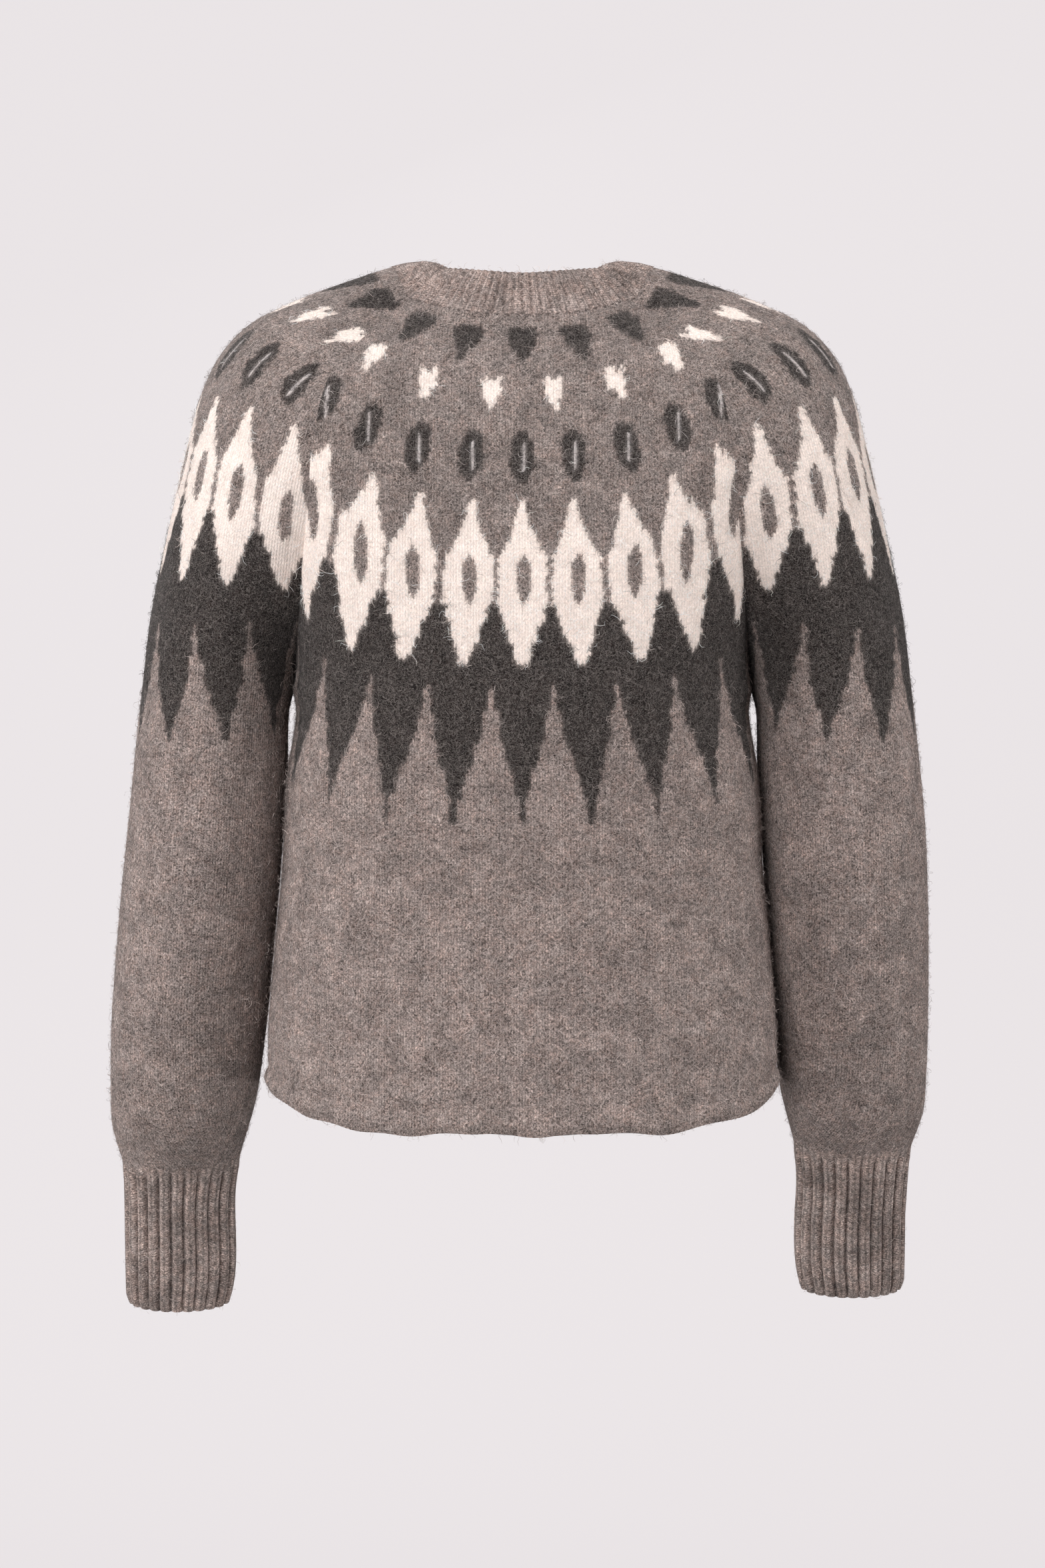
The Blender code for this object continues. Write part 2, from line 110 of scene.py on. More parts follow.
# Torso: its centre back and front, the half angle of its rows, and how late they climb out to the edge
TORSO = table(
    "row back_y back_z front_y front_z turn climb",
    (-0.10, 0.0550, -0.0110, -0.0680, -0.0660, 42.0, 1.6),
    (0.00, 0.0660, -0.0416, -0.0830, -0.0950, 45.0, 2.2),
    (0.17, 0.0900, -0.0800, -0.0980, -0.1250, 52.0, 2.6),
    (0.33, 0.1040, -0.1215, -0.1070, -0.1580, 58.0, 2.6),
    (0.50, 0.1120, -0.1655, -0.1130, -0.1920, 64.0, 2.6),
    (0.67, 0.1165, -0.2100, -0.1170, -0.2280, 71.0, 2.6),
    (0.83, 0.1180, -0.2550, -0.1185, -0.2640, 79.0, 2.6),
    (1.00, 0.1170, -0.3000, -0.1175, -0.3000, 90.0, 2.6),
    (1.25, 0.1120, -0.3729, -0.1180, -0.3725, 90.0, 3.0),
    (1.45, 0.1080, -0.4312, -0.1140, -0.4305, 90.0, 4.0),
    (1.65, 0.1070, -0.4895, -0.1100, -0.4885, 90.0, 5.0),
    (1.85, 0.1090, -0.5479, -0.1100, -0.5465, 90.0, 6.0),
    (2.00, 0.1120, -0.5920, -0.1120, -0.5905, 90.0, 5.5),
)

# Side seam below the underarm
SIDE = table(
    "row x z",
    (1.00, 0.1590, -0.2940),
    (1.05, 0.1566, -0.3080),
    (1.12, 0.1586, -0.3260),
    (1.18, 0.1618, -0.3430),
    (1.45, 0.1664, -0.4170),
    (1.65, 0.1716, -0.4720),
    (1.85, 0.1758, -0.5270),
    (2.00, 0.1762, -0.5680),
)

# Midway between the raglan lines, or the inner line of the arm, with its depth and how far its rows turn
ARM_INNER = table(
    "row x z skew_x skew_z y depth turn",
    (-0.10, 0.0540, -0.0090, -0.0030, 0.0060, 0.0030, 0.0470, 44.0),
    (0.00, 0.0805, -0.0300, -0.0036, 0.0056, 0.0010, 0.0504, 44.0),
    (0.17, 0.1080, -0.0600, -0.0003, 0.0040, 0.0060, 0.0660, 60.0),
    (0.33, 0.1300, -0.0920, 0.0000, 0.0063, 0.0100, 0.0780, 75.0),
    (0.50, 0.1405, -0.1350, -0.0005, 0.0060, 0.0100, 0.0860, 88.0),
    (0.67, 0.1470, -0.1920, -0.0010, 0.0030, 0.0080, 0.0800, 105.0),
    (0.83, 0.1530, -0.2450, -0.0010, 0.0020, 0.0040, 0.0680, 133.0),
    (1.00, 0.1590, -0.2940, 0.0000, 0.0000, 0.0000, 0.0600, 180.0),
    (1.05, 0.1622, -0.3080, 0.0000, 0.0000, 0.0000, 0.0595, 180.0),
    (1.10, 0.1630, -0.3250, 0.0000, -0.0005, -0.0005, 0.0590, 180.0),
    (1.18, 0.1633, -0.3520, 0.0000, -0.0010, -0.0020, 0.0580, 180.0),
    (1.34, 0.1673, -0.4050, 0.0000, -0.0030, -0.0050, 0.0570, 180.0),
    (1.54, 0.1732, -0.4700, 0.0000, -0.0060, -0.0120, 0.0550, 180.0),
    (1.74, 0.1803, -0.5350, 0.0000, -0.0080, -0.0230, 0.0520, 180.0),
    (1.89, 0.1885, -0.5850, 0.0000, -0.0080, -0.0320, 0.0460, 180.0),
    (1.96, 0.1948, -0.6060, 0.0000, -0.0070, -0.0360, 0.0370, 180.0),
    (2.00, 0.1992, -0.6205, 0.0000, -0.0060, -0.0400, 0.0280, 180.0),
    (2.05, 0.2024, -0.6360, 0.0000, -0.0060, -0.0435, 0.0245, 180.0),
    (2.31, 0.2076, -0.7205, 0.0000, -0.0055, -0.0650, 0.0215, 180.0),
    (2.33, 0.2092, -0.7270, 0.0000, -0.0055, -0.0665, 0.0200, 180.0),
)

# Outline of the shoulder and of the outer side of the arm, seen from behind
ARM_OUTER = table(
    "row x z",
    (-0.10, 0.0640, 0.0015),
    (0.00, 0.0910, -0.0012),
    (0.10, 0.1270, -0.0130),
    (0.20, 0.1622, -0.0270),
    (0.30, 0.1950, -0.0455),
    (0.37, 0.2125, -0.0648),
    (0.45, 0.2255, -0.0925),
    (0.55, 0.2350, -0.1290),
    (0.70, 0.2480, -0.1840),
    (0.85, 0.2600, -0.2400),
    (1.00, 0.2671, -0.2963),
    (1.18, 0.2732, -0.3520),
    (1.31, 0.2775, -0.3935),
    (1.56, 0.2845, -0.4770),
    (1.74, 0.2882, -0.5400),
    (1.89, 0.2890, -0.5900),
    (1.96, 0.2860, -0.6090),
    (2.00, 0.2824, -0.6225),
    (2.05, 0.2806, -0.6380),
    (2.31, 0.2815, -0.7205),
    (2.33, 0.2799, -0.7270),
)

# Half of a button's outline, centre out, in shares of its radius and thickness: dished inside a round rim
BUTTON_FACE = 0.60
BUTTON_OUTLINE = (
    (0.0, BUTTON_FACE),
    (0.55, BUTTON_FACE),
    (0.64, 0.66),
    (0.71, 0.90),
    (0.78, 0.99),
    (0.86, 1.0),
    (0.94, 0.90),
    (0.99, 0.70),
    (1.0, 0.50),
    (0.97, 0.25),
    (0.88, 0.06),
    (0.78, 0.0),
    (0.0, 0.0),
)

# Knit gauge and thickness
STITCH = 0.0038
ROW = 0.0028
RIB_ROW = 0.0018
KNIT = 0.0022
STITCH_RISE = 0.00010
STITCH_DIP = -0.00022
SEAM_STITCHES = 3
ROW_SAMPLES = 261
SEAM_GROOVE = 0.00034
SEAM_REACH = 0.00014
SOFT_EDGE = 0.5
RIB_FADE = 3
HEM_WAVE = 0.0011
NECK_ROLL = (0.0016, 0.0006, 0.0001)

# Points to a rib, rows of points down the neckband and a cuff, and how coarse the plain insides are
RIB_POINTS = 8
NECK_ROWS = 12
CUFF_ROWS = 38
INNER_COLUMNS = 24
INNER_STEP = 8
RIB_INNER_STEP = 4

# Where outside, inside and rims lie across the bake UV map
OUTSIDE_WIDTH = 0.78
INSIDE_FROM = 0.80
INSIDE_WIDTH = 0.18
RIM_OUT = 0.985
RIM_IN = 0.998

# Yarn colours, linear
TAUPE = (0.256, 0.201, 0.185)
DEEP_TAUPE = (0.208, 0.166, 0.153)
CHARCOAL = (0.018, 0.0130, 0.0120)
CREAM = (0.900, 0.770, 0.708)
SILVER = (0.500, 0.450, 0.440)
RIB_TAUPE = (0.318, 0.253, 0.232)
# Each yarn's colour and how strongly it is heathered
YARNS = np.array(((*TAUPE, 1.0), (*DEEP_TAUPE, 1.0), (*CHARCOAL, 0.85), (*CREAM, 0.16), (*SILVER, 0.3)))
PLAIN = (*TAUPE, 1.0)
RIBBED = (*RIB_TAUPE, 0.9)
PALE_FIBRE = (0.52, 0.45, 0.42)
TAUPE_NUMBER, DEEP_NUMBER, CHARCOAL_NUMBER, CREAM_NUMBER, SILVER_NUMBER = range(5)

# Motifs of the yoke as half outlines: chart rows from the middle, and half the width there in stitches
WEDGE = ((-5.6, 2.4), (-2.6, 3.0), (0.0, 2.5), (2.5, 1.6), (6.0, 0.5))
HEART = ((-4.0, 1.6), (0.5, 1.6), (1.6, 0.8), (4.0, 0.5))
HEART_NOTCH = ((-4.0, 0.5), (-2.6, 0.5))
OVAL = ((-6.6, 0.4), (-5.4, 1.4), (-3.2, 2.1), (2.2, 2.2), (4.4, 1.5), (6.8, 0.3))
OVAL_SLIT = ((-3.6, 0.30), (3.6, 0.30))
LOZENGE = (
    (-19.5, 0.5),
    (-16.5, 0.9),
    (-13.0, 1.6),
    (-9.0, 2.7),
    (-5.6, 3.7),
    (-5.4, 4.3),
    (5.9, 4.35),
    (6.1, 3.7),
    (9.8, 3.2),
    (10.1, 2.7),
    (13.8, 2.2),
    (14.1, 1.7),
    (17.5, 1.2),
    (19.5, 0.5),
)
LOZENGE_HOLE = ((-5.8, 0.3), (-3.0, 1.1), (0.5, 1.4), (3.0, 1.1), (5.8, 0.3))
PEAK = (
    (0.0, 0.45),
    (5.9, 0.55),
    (6.1, 1.3),
    (13.5, 1.8),
    (14.5, 2.6),
    (20.5, 3.4),
    (21.0, 4.2),
    (27.5, 4.9),
    (28.0, 5.5),
    (34.5, 5.6),
    (35.0, 9.0),
    (200.0, 9.0),
)

# Bands of the yoke: outline, cut-out, the yarns of both, middle row, place on body and on sleeve, fan
# A place is the stitches from one motif to the next and the share of that by which the first is off centre
BANDS = (
    (WEDGE, None, 2, 1, 10.0, (10.0, 0.0), (8.0, 0.5), 0.020),
    (HEART, HEART_NOTCH, 3, 1, 23.0, (11.2, 0.5), (8.6, 0.5), 0.013),
    (OVAL, OVAL_SLIT, 2, 4, 39.0, (9.25, 0.0), (9.3, 0.0), 0.009),
    (LOZENGE, LOZENGE_HOLE, 3, 1, 69.0, (9.7, 0.0), (9.7, 0.5), 0.0045),
)
CHARCOAL_FROM = 75.0
PEAKS_FROM = 93.0
SPIKES_END = 128.0
SPIKE_PITCH = (12.2, 11.0)
SPIKE_OFFSET = (0.0, 0.5)
SPIKE_FAN = 0.003
EDGE_WOBBLE = 0.16

# Surface row that each chart row lies on, down two lines of the body and three of a sleeve
CHART_AT = table(
    "row centre edge raglan quarter outer",
    (-30.0, -0.200, -0.200, -0.200, -0.200, -0.200),
    (0.0, 0.000, 0.000, 0.000, 0.000, 0.000),
    (10.0, 0.083, 0.060, 0.062, 0.083, 0.090),
    (23.0, 0.245, 0.195, 0.195, 0.208, 0.212),
    (39.0, 0.408, 0.400, 0.395, 0.376, 0.350),
    (49.5, 0.524, 0.490, 0.490, 0.460, 0.448),
    (69.0, 0.720, 0.604, 0.672, 0.608, 0.575),
    (88.5, 0.930, 0.800, 0.785, 0.795, 0.760),
    (93.0, 0.985, 0.860, 0.850, 0.884, 0.870),
    (128.0, 1.306, 1.200, 1.120, 1.172, 1.135),
    (260.0, 2.500, 2.400, 2.300, 2.350, 2.320),
)

# Loose fibres: how many stand on each piece, their length and how far they stand out, and their ribbon
FUZZ = {
    "back": 29000,
    "front_left": 10500,
    "front_right": 10500,
    "sleeve_left": 18000,
    "sleeve_right": 18000,
    "neckband": 2800,
    "cuff_left": 1400,
    "cuff_right": 1400,
}
PANEL_FIBRES = (0.0070, 0.0011)
RIB_FIBRES = (0.0060, 0.0008)
FIBRE_SEGMENTS = 3
FIBRE_WIDTH = 0.00020
FUZZ_SEED = 11

# Curl, swing and waves of loose fibres, spread of length and height, share that stand up, lightest colour
CURL = 3.4
SWING = (0.2, 1.1)
WAVES = (3, 9)
LENGTH_SPREAD = (0.45, 1.35)
HEIGHT_GAMMA = (1.6, 0.6)
LOOSE_SHARE = 0.45
LIGHTEST = 0.88

# Shares of painted shade between stitches, pale fibres and grain in the brushed and in the ribbed wool
BRUSHED = (0.65, 0.72, 0.55)
RIB_LOOK = (0.75, 0.22, 0.35)

# Colours in the wool's shader: painted shadows of fibres, what pale fibres add to the yarn's colour, and two
# tints
FIBRE_SHADOW_PAINT = (0.035, 0.028, 0.026)
PALER_BY = (0.25, 0.22, 0.205)
WARM_TINT = (1.06, 0.99, 0.95)
COOL_TINT = (0.98, 1.0, 1.0)

# Scale, detail and distortion of the noises in the wool and in the horn
SPECKS = (800.0, 3.0, 1.0)
CLOUDS = (52.0, 3.0, 0.6)
TINTS = (110.0, 4.0, 1.0)
STRANDS = (300.0, 3.0, 2.0)
PALE_LINES = (190.0, 1.5, 2.6)
MORE_LINES = (230.0, 1.5, 3.0)
# The next noise draws thin dark lines of painted shadow where loose fibres would shade the cloth
FIBRE_SHADOW_LINES = (210.0, 1.5, 2.8)
HORN_STREAKS = (160.0, 4.0, 2.5)
HORN_TONES = ((0.35, (0.018, 0.012, 0.010)), (0.72, (0.110, 0.065, 0.042)))

# Surface values of the Principled shaders
WOOL = {"Roughness": 0.95, "Specular IOR Level": 0.15, "Sheen Weight": 0.06, "Sheen Roughness": 0.6}
FIBRE = {"Roughness": 0.7, "Specular IOR Level": 0.2}
HORN = {"Roughness": 0.32}
# Near-black paint for the shade inside the buttons' sewing holes
HOLE_SHADE = {"Base Color": (0.004, 0.003, 0.003, 1.0), "Roughness": 0.9}
PAPER = {
    "Base Color": (0.12, 0.12, 0.12, 1.0),
    "Roughness": 1.0,
    "Specular IOR Level": 0.0,
    "Emission Color": (0.814, 0.768, 0.783, 1.0),
    "Emission Strength": 0.89,
}

# Pale sweep: its floor's height and front end, where it turns up and how roundly, its top and half its width
SWEEP_FLOOR = -1.25
SWEEP_FRONT = 6.0
SWEEP_TURN = -1.6
SWEEP_RADIUS = 0.8
SWEEP_STEPS = 12
SWEEP_TOP = 5.0
SWEEP_HALF = 6.0

# Lights: where each stands, what it aims at, its size and its power
MIDDLE = (0.0, 0.0, -0.33)
LIGHTS = {
    "key": ((1.0, 2.6, 0.0), MIDDLE, 1.4, 29.0),
    "top": ((0.0, 0.9, 2.2), MIDDLE, 1.4, 56.0),
    "low": ((0.9, 1.9, -1.1), (0.1, 0.0, -0.6), 1.2, 13.0),
    "left_box": ((2.8, 1.1, -0.5), MIDDLE, 1.3, 45.0),
    "right_box": ((-2.9, 0.8, -0.5), MIDDLE, 1.3, 47.0),
    "front": ((0.6, -1.5, 1.2), MIDDLE, 1.6, 20.0),
}
WORLD_COLOUR = (1.0, 0.99, 0.985)
WORLD_STRENGTH = 0.14

# Camera at the photograph's viewpoint
CAMERA_DISTANCE = 2.5
CAMERA_HEIGHT = -0.359
SENSOR = 24.0
LENS = 55.1


def smooth(columns, name, rows):
    """Reads a column at any row number, along a smooth curve that doesn't overshoot the table."""
    knots = columns["row"]
    values = columns[name]
    gaps = np.diff(knots)
    slopes = np.diff(values) / gaps
    inner = (slopes[:-1] * gaps[1:] + slopes[1:] * gaps[:-1]) / (gaps[:-1] + gaps[1:])
    inner[slopes[:-1] * slopes[1:] <= 0.0] = 0.0
    tangents = np.concatenate(([slopes[0]], inner, [slopes[-1]]))
    rows = np.asarray(rows, dtype=float)
    i = np.clip(np.searchsorted(knots, rows) - 1, 0, len(gaps) - 1)
    s = np.clip((rows - knots[i]) / gaps[i], 0.0, 1.0)
    start = values[i] * (1 + 2 * s) * (1 - s) ** 2 + values[i + 1] * s * s * (3 - 2 * s)
    return start + gaps[i] * s * (1 - s) * (tangents[i] * (1 - s) - tangents[i + 1] * s)


def arm(rows, turn, side):
    """Points of the left (side 1) or right (side -1) arm. Turn -1 is its back raglan, 1 its front one."""
    rows, turn = np.broadcast_arrays(np.asarray(rows, dtype=float), np.asarray(turn, dtype=float))
    reach = np.radians(smooth(ARM_INNER, "turn", rows))
    inner = np.stack([smooth(ARM_INNER, name, rows) for name in ("x", "y", "z")], axis=-1)
    outer = np.stack(
        [smooth(ARM_OUTER, "x", rows), smooth(ARM_INNER, "y", rows), smooth(ARM_OUTER, "z", rows)], axis=-1
    )
    outer[..., 0] -= side * SHOULDER_LEAN * np.interp(rows, (0.0, 0.35, 1.3, 1.7), (0.0, 1.0, 1.0, 0.0))
    across = (outer - inner) / (1 - np.cos(reach))[..., None]
    deep = np.stack([smooth(ARM_INNER, name, rows) for name in ("skew_x", "depth", "skew_z")], axis=-1)
    angle = (turn * reach)[..., None]
    points = outer + across * (np.cos(angle) - 1) - deep * np.sin(angle)
    if side < 0:
        low = np.clip((rows - RIGHT_PULL_FROM) / RIGHT_PULL_ROWS, 0.0, None)
        points[..., 0] -= RIGHT_PULL * np.minimum(low, 1.2) ** 1.5
        points[..., 2] += RIGHT_LIFT * np.clip(rows - 1.0, 0.0, 1.0)
        points[..., 0] *= -1
    return points


def torso_edge(rows, face):
    """Edge of the left half of the back (face 1) or front (face -1): its raglan line, then its side seam."""
    raglan = arm(np.minimum(rows, 1.0), -face, 1)
    seam = np.stack([smooth(SIDE, "x", rows), 0.0 * rows, smooth(SIDE, "z", rows)], axis=-1)
    return np.where((rows <= 1.0)[..., None], raglan, seam)


def hem_swell(rows):
    """How far the narrow rolled hem stands out: a groove above a round edge."""
    return np.interp(rows, HEM_ROWS, HEM_SHAPE)


def torso(rows, along, face):
    """Points of the back (face 1) or front (face -1), along being 0 at the centre and 1 at the left edge."""
    rows, along = np.broadcast_arrays(np.asarray(rows, dtype=float), np.asarray(along, dtype=float))
    side = "back" if face > 0 else "front"
    centre_y = smooth(TORSO, side + "_y", rows)
    centre_z = smooth(TORSO, side + "_z", rows)
    edge = torso_edge(rows, face)
    reach = np.radians(smooth(TORSO, "turn", rows))
    angle = np.abs(along) * reach
    power = 2.0 / TORSO_POWER
    out = (np.sin(angle) / np.sin(reach)) ** power
    end = np.maximum(np.cos(reach), 0.0) ** power
    deep = (np.maximum(np.cos(angle), 0.0) ** power - end) / (1 - end)
    swell = 1 + hem_swell(rows) / SWELL_RADIUS
    x = np.sign(along) * edge[..., 0] * out * swell
    y = (edge[..., 1] + (centre_y - edge[..., 1]) * deep) * swell
    z = centre_z + (edge[..., 2] - centre_z) * out ** smooth(TORSO, "climb", rows)
    return np.stack([x, y, z], axis=-1)


def along_at(rows, x, face):
    """Where on its row the torso lies x metres from the centre plane."""
    rows, x = np.broadcast_arrays(np.asarray(rows, dtype=float), np.asarray(x, dtype=float))
    edge = torso_edge(rows, face)[..., 0]
    reach = np.radians(smooth(TORSO, "turn", rows))
    swell = 1 + hem_swell(rows) / SWELL_RADIUS
    sine = np.sin(reach) * (np.abs(x) / (edge * swell)) ** (TORSO_POWER / 2.0)
    return np.sign(x) * np.arcsin(sine) / reach


def unit(vectors):
    """Vectors of length 1."""
    length = np.linalg.norm(vectors, axis=-1, keepdims=True)
    return vectors / np.maximum(length, 1e-12)


def cell_normals(grid):
    """Area-weighted outward direction of each cell of a grid whose columns run clockwise seen from above."""
    falling = grid[1:, 1:] - grid[:-1, :-1]
    rising = grid[:-1, 1:] - grid[1:, :-1]
    return np.cross(rising, falling)


def run_along(line):
    """How far along a polyline each of its points lies."""
    return np.concatenate(([0.0], np.cumsum(np.linalg.norm(np.diff(line, axis=0), axis=1))))


def points_along(line, run, places):
    """Points of a polyline at the given lengths along it."""
    return np.stack([np.interp(places, run, line[:, axis]) for axis in range(3)], axis=-1)


def even_columns(rings, count):
    """Points evenly along each ring, a list of polylines with the same number of points."""
    made = []
    for ring in rings:
        run = run_along(ring)
        made.append(points_along(ring, run, np.linspace(0.0, run[-1], count)))
    return np.array(made)


def neck_ring(row):
    """One row round the neck, clockwise from above, from the left button band back to the right one."""
    steps = 60
    band = float(np.abs(along_at(row, BAND_HALF + SEAM, -1)))
    share = np.linspace(0.0, 1.0, steps)
    parts = [
        torso(row, -(band + (1 - band) * share), -1),
        arm(row, 1 - 2 * share, -1),
        torso(row, 2 * share - 1, 1),
        arm(row, 2 * share - 1, 1),
        torso(row, 1 + (band - 1) * share, -1),
    ]
    return np.concatenate([part[:-1] for part in parts] + [parts[-1][-1:]])


def chart_row(kind, rows, across):
    """Chart row at a surface row, across being 0 at the centre of the panel and 1 at its raglan lines."""
    marks = CHART_AT["row"]
    read = {name: np.interp(rows, CHART_AT[name], marks) for name in CHART_AT if name != "row"}
    if kind == "torso":
        return read["centre"] + (read["edge"] - read["centre"]) * across**2.2
    outer, raglan = read["outer"], read["raglan"]
    curve = 2 * (outer + raglan - 2 * read["quarter"])
    slope = raglan - outer - curve
    return outer + slope * across + curve * across**2


def within(outline, down, away):
    """Whether a place lies within an outline, by rows from the motif's middle and stitches from its axis."""
    rows, widths = np.array(outline).T
    return (down >= rows[0]) & (down < rows[-1]) & (away <= np.interp(down, rows, widths))


def from_axis(columns, pitch, offset):
    """Stitches from the nearest motif's axis."""
    home = np.round((columns / pitch) - offset) + offset
    return np.abs(columns - np.round(home * pitch * 2) / 2)


def yarn_numbers(kind, chart_rows, columns):
    """The yarn at every place, from its chart row and its stitches from the panel's centre."""
    body = kind == "torso"
    yarn = np.where(chart_rows < CHARCOAL_FROM, DEEP_NUMBER, CHARCOAL_NUMBER)
    for outline, cut_out, number, inner, middle, on_body, on_sleeve, fan in BANDS:
        pitch, offset = on_body if body else on_sleeve
        down = chart_rows - middle
        axis = from_axis(columns / (1 + (fan if body else fan / 2) * down), pitch, offset)
        wobble = np.random.default_rng(number + 5).normal(0.0, EDGE_WOBBLE, axis.shape)
        inside = within(outline, down, axis + wobble)
        yarn = np.where(inside, number, yarn)
        if cut_out:
            upright = from_axis(columns + 0.25, pitch, offset)
            yarn = np.where(inside & within(cut_out, down, upright), inner, yarn)
    fanned = columns / (1 + SPIKE_FAN * (chart_rows - SPIKES_END))
    pitch, offset = (SPIKE_PITCH[0], SPIKE_OFFSET[0]) if body else (SPIKE_PITCH[1], SPIKE_OFFSET[1])
    wobble = np.random.default_rng(5).normal(0.0, EDGE_WOBBLE, chart_rows.shape)
    axis = from_axis(fanned, pitch, offset + 0.5) + wobble
    return np.where(within(PEAK, chart_rows - PEAKS_FROM + wobble, axis), TAUPE_NUMBER, yarn)


def put(name, data):
    """A new object in the scene."""
    made = bpy.data.objects.new(name, data)
    bpy.context.scene.collection.objects.link(made)
    return made


class Mesh:
    """Collects faces, with two UV maps and a colour for each corner, and makes one mesh of them."""

    def __init__(self):
        self.points = []
        self.count = 0
        self.loops = []
        self.sizes = []
        self.stitch = []
        self.bake = []
        self.colour = []

    def add_points(self, points):
        """Adds points and returns the number of the first one."""
        points = np.asarray(points, dtype=float).reshape(-1, 3)
        first = self.count
        self.points.append(points)
        self.count += len(points)
        return first

    def add_faces(self, loops, sizes, stitch, bake, colour):
        """Adds faces: their corners in a row, how many corners each has, and the values at each corner."""
        self.loops.append(np.asarray(loops, dtype=np.int32).ravel())
        self.sizes.append(np.asarray(sizes, dtype=np.int32).ravel())
        self.stitch.append(np.asarray(stitch, dtype=np.float32).reshape(-1, 2))
        self.bake.append(np.asarray(bake, dtype=np.float32).reshape(-1, 2))
        self.colour.append(np.asarray(colour, dtype=np.float32).reshape(-1, 4))

    def add_cells(self, ids, stitch, bake, colour, inward=False):
        """Adds every cell of a grid of point numbers as a quad of one colour, facing outward or inward."""
        order = slice(None, None, -1 if inward else 1)
        corners = quads(ids)[:, order]
        colours = np.tile(colour, (len(corners) * 4, 1))
        baked = at_corners(bake)[:, order]
        self.add_faces(corners, np.full(len(corners), 4), at_corners(stitch)[:, order], baked, colours)

    def add_uneven_cells(self, ids, stitch, bake, colours):
        """Adds the cells of a grid, some of which have closed up to triangles or to nothing."""
        values = [at_corners(stitch), at_corners(bake), colours]
        for kept, (stitched, baked, coloured) in split_collapsed(quads(ids), values):
            if len(kept):
                self.add_faces(kept, np.full(len(kept), kept.shape[1]), stitched, baked, coloured)

    def add_rim(self, ring, places, colour):
        """Adds one many-sided face of a rim, with its places on the bake UV map."""
        self.add_faces(ring, [len(ring)], [(0.0, 0.0)] * len(ring), places, [colour] * len(ring))

    def make(self, name, material):
        """Makes the object."""
        mesh = bpy.data.meshes.new(name)
        points = np.concatenate(self.points)
        loops = np.concatenate(self.loops)
        sizes = np.concatenate(self.sizes)
        mesh.vertices.add(len(points))
        mesh.vertices.foreach_set("co", points.astype(np.float32).ravel())
        mesh.loops.add(len(loops))
        mesh.loops.foreach_set("vertex_index", loops)
        mesh.polygons.add(len(sizes))
        starts = np.concatenate(([0], np.cumsum(sizes)[:-1])).astype(np.int32)
        mesh.polygons.foreach_set("loop_start", starts)
        mesh.polygons.foreach_set("loop_total", sizes)
        mesh.update(calc_edges=True)
        for map_name, values in (("OFBake", self.bake), ("Stitch", self.stitch)):
            layer = mesh.uv_layers.new(name=map_name)
            layer.data.foreach_set("uv", np.concatenate(values).ravel())
        colours = np.concatenate(self.colour)
        yarn = mesh.color_attributes.new("Yarn", "FLOAT_COLOR", "CORNER")
        yarn.data.foreach_set("color", colours.ravel())
        mesh.validate()
        mesh.materials.append(material)
        made = put(name, mesh)
        mesh.shade_smooth()
        mesh.set_sharp_from_angle(angle=math.radians(60))
        return made


def quads(ids):
    """The four corners of every cell of a grid of point numbers, going down from the upper left."""
    return np.stack([ids[:-1, :-1], ids[:-1, 1:], ids[1:, 1:], ids[1:, :-1]], axis=-1).reshape(-1, 4)


def at_corners(values):
    """The values at the four corners of every cell of a grid, in the same order as its quads."""
    sides = (values[:-1, :-1], values[:-1, 1:], values[1:, 1:], values[1:, :-1])
    return np.stack(sides, axis=2).reshape(-1, 4, values.shape[-1])


def split_collapsed(corners, values):
    """Splits cells into quads and into triangles where one side has closed up, and drops closed cells."""
    same = corners == np.roll(corners, -1, axis=1)
    shut = same.sum(axis=1)
    whole = shut == 0
    results = [(corners[whole], [value[whole] for value in values])]
    for side in range(4):
        picked = (shut == 1) & same[:, side]
        kept = [k for k in range(4) if k != side]
        results.append((corners[picked][:, kept], [value[picked][:, kept] for value in values]))
    return results


def grid_normals(grid):
    """Outward direction at each point of a grid."""
    cells = cell_normals(grid)
    cells = np.concatenate([cells[:1], cells, cells[-1:]], axis=0)
    cells = np.concatenate([cells[:, :1], cells, cells[:, -1:]], axis=1)
    return unit(cells[:-1, :-1] + cells[1:, :-1] + cells[:-1, 1:] + cells[1:, 1:])


def rim_places(low, high, count):
    """Places on the bake UV map of a rim's outer points, from low to high, and of its two inner ones."""
    places = [(RIM_OUT, low + (high - low) * i / max(count - 1, 1)) for i in range(count)]
    return places + [(RIM_IN, high), (RIM_IN, low)]


def bridge(mesh, outer_chain, inner_chain, colour):
    """Closes the rim between an outer chain of points and a coarser inner one that runs the same way."""
    steps = len(inner_chain) - 1
    marks = np.round(np.linspace(0, len(outer_chain) - 1, steps + 1)).astype(int)
    for k in range(steps):
        run = list(outer_chain[marks[k] : marks[k + 1] + 1])
        ring = run + [inner_chain[k + 1], inner_chain[k]]
        places = rim_places(k / steps, (k + 1) / steps, len(run))
        kept = [i for i, point in enumerate(ring) if point != ring[i - 1]]
        if len(kept) >= 3:
            mesh.add_rim([ring[i] for i in kept], [places[i] for i in kept], colour)


def bridge_side(mesh, outer_line, inner_line, picks, back, colour):
    """Closes a side rim between the outer points of a column and the inner ones at the picked rows."""
    for k in range(len(picks) - 1):
        run = list(dict.fromkeys(outer_line[picks[k] : picks[k + 1] + 1]))
        ring = run + [inner_line[k + 1], inner_line[k]]
        places = rim_places(picks[k] / picks[-1], picks[k + 1] / picks[-1], len(run))
        if back:
            ring, places = ring[::-1], places[::-1]
        mesh.add_rim(ring, places, colour)


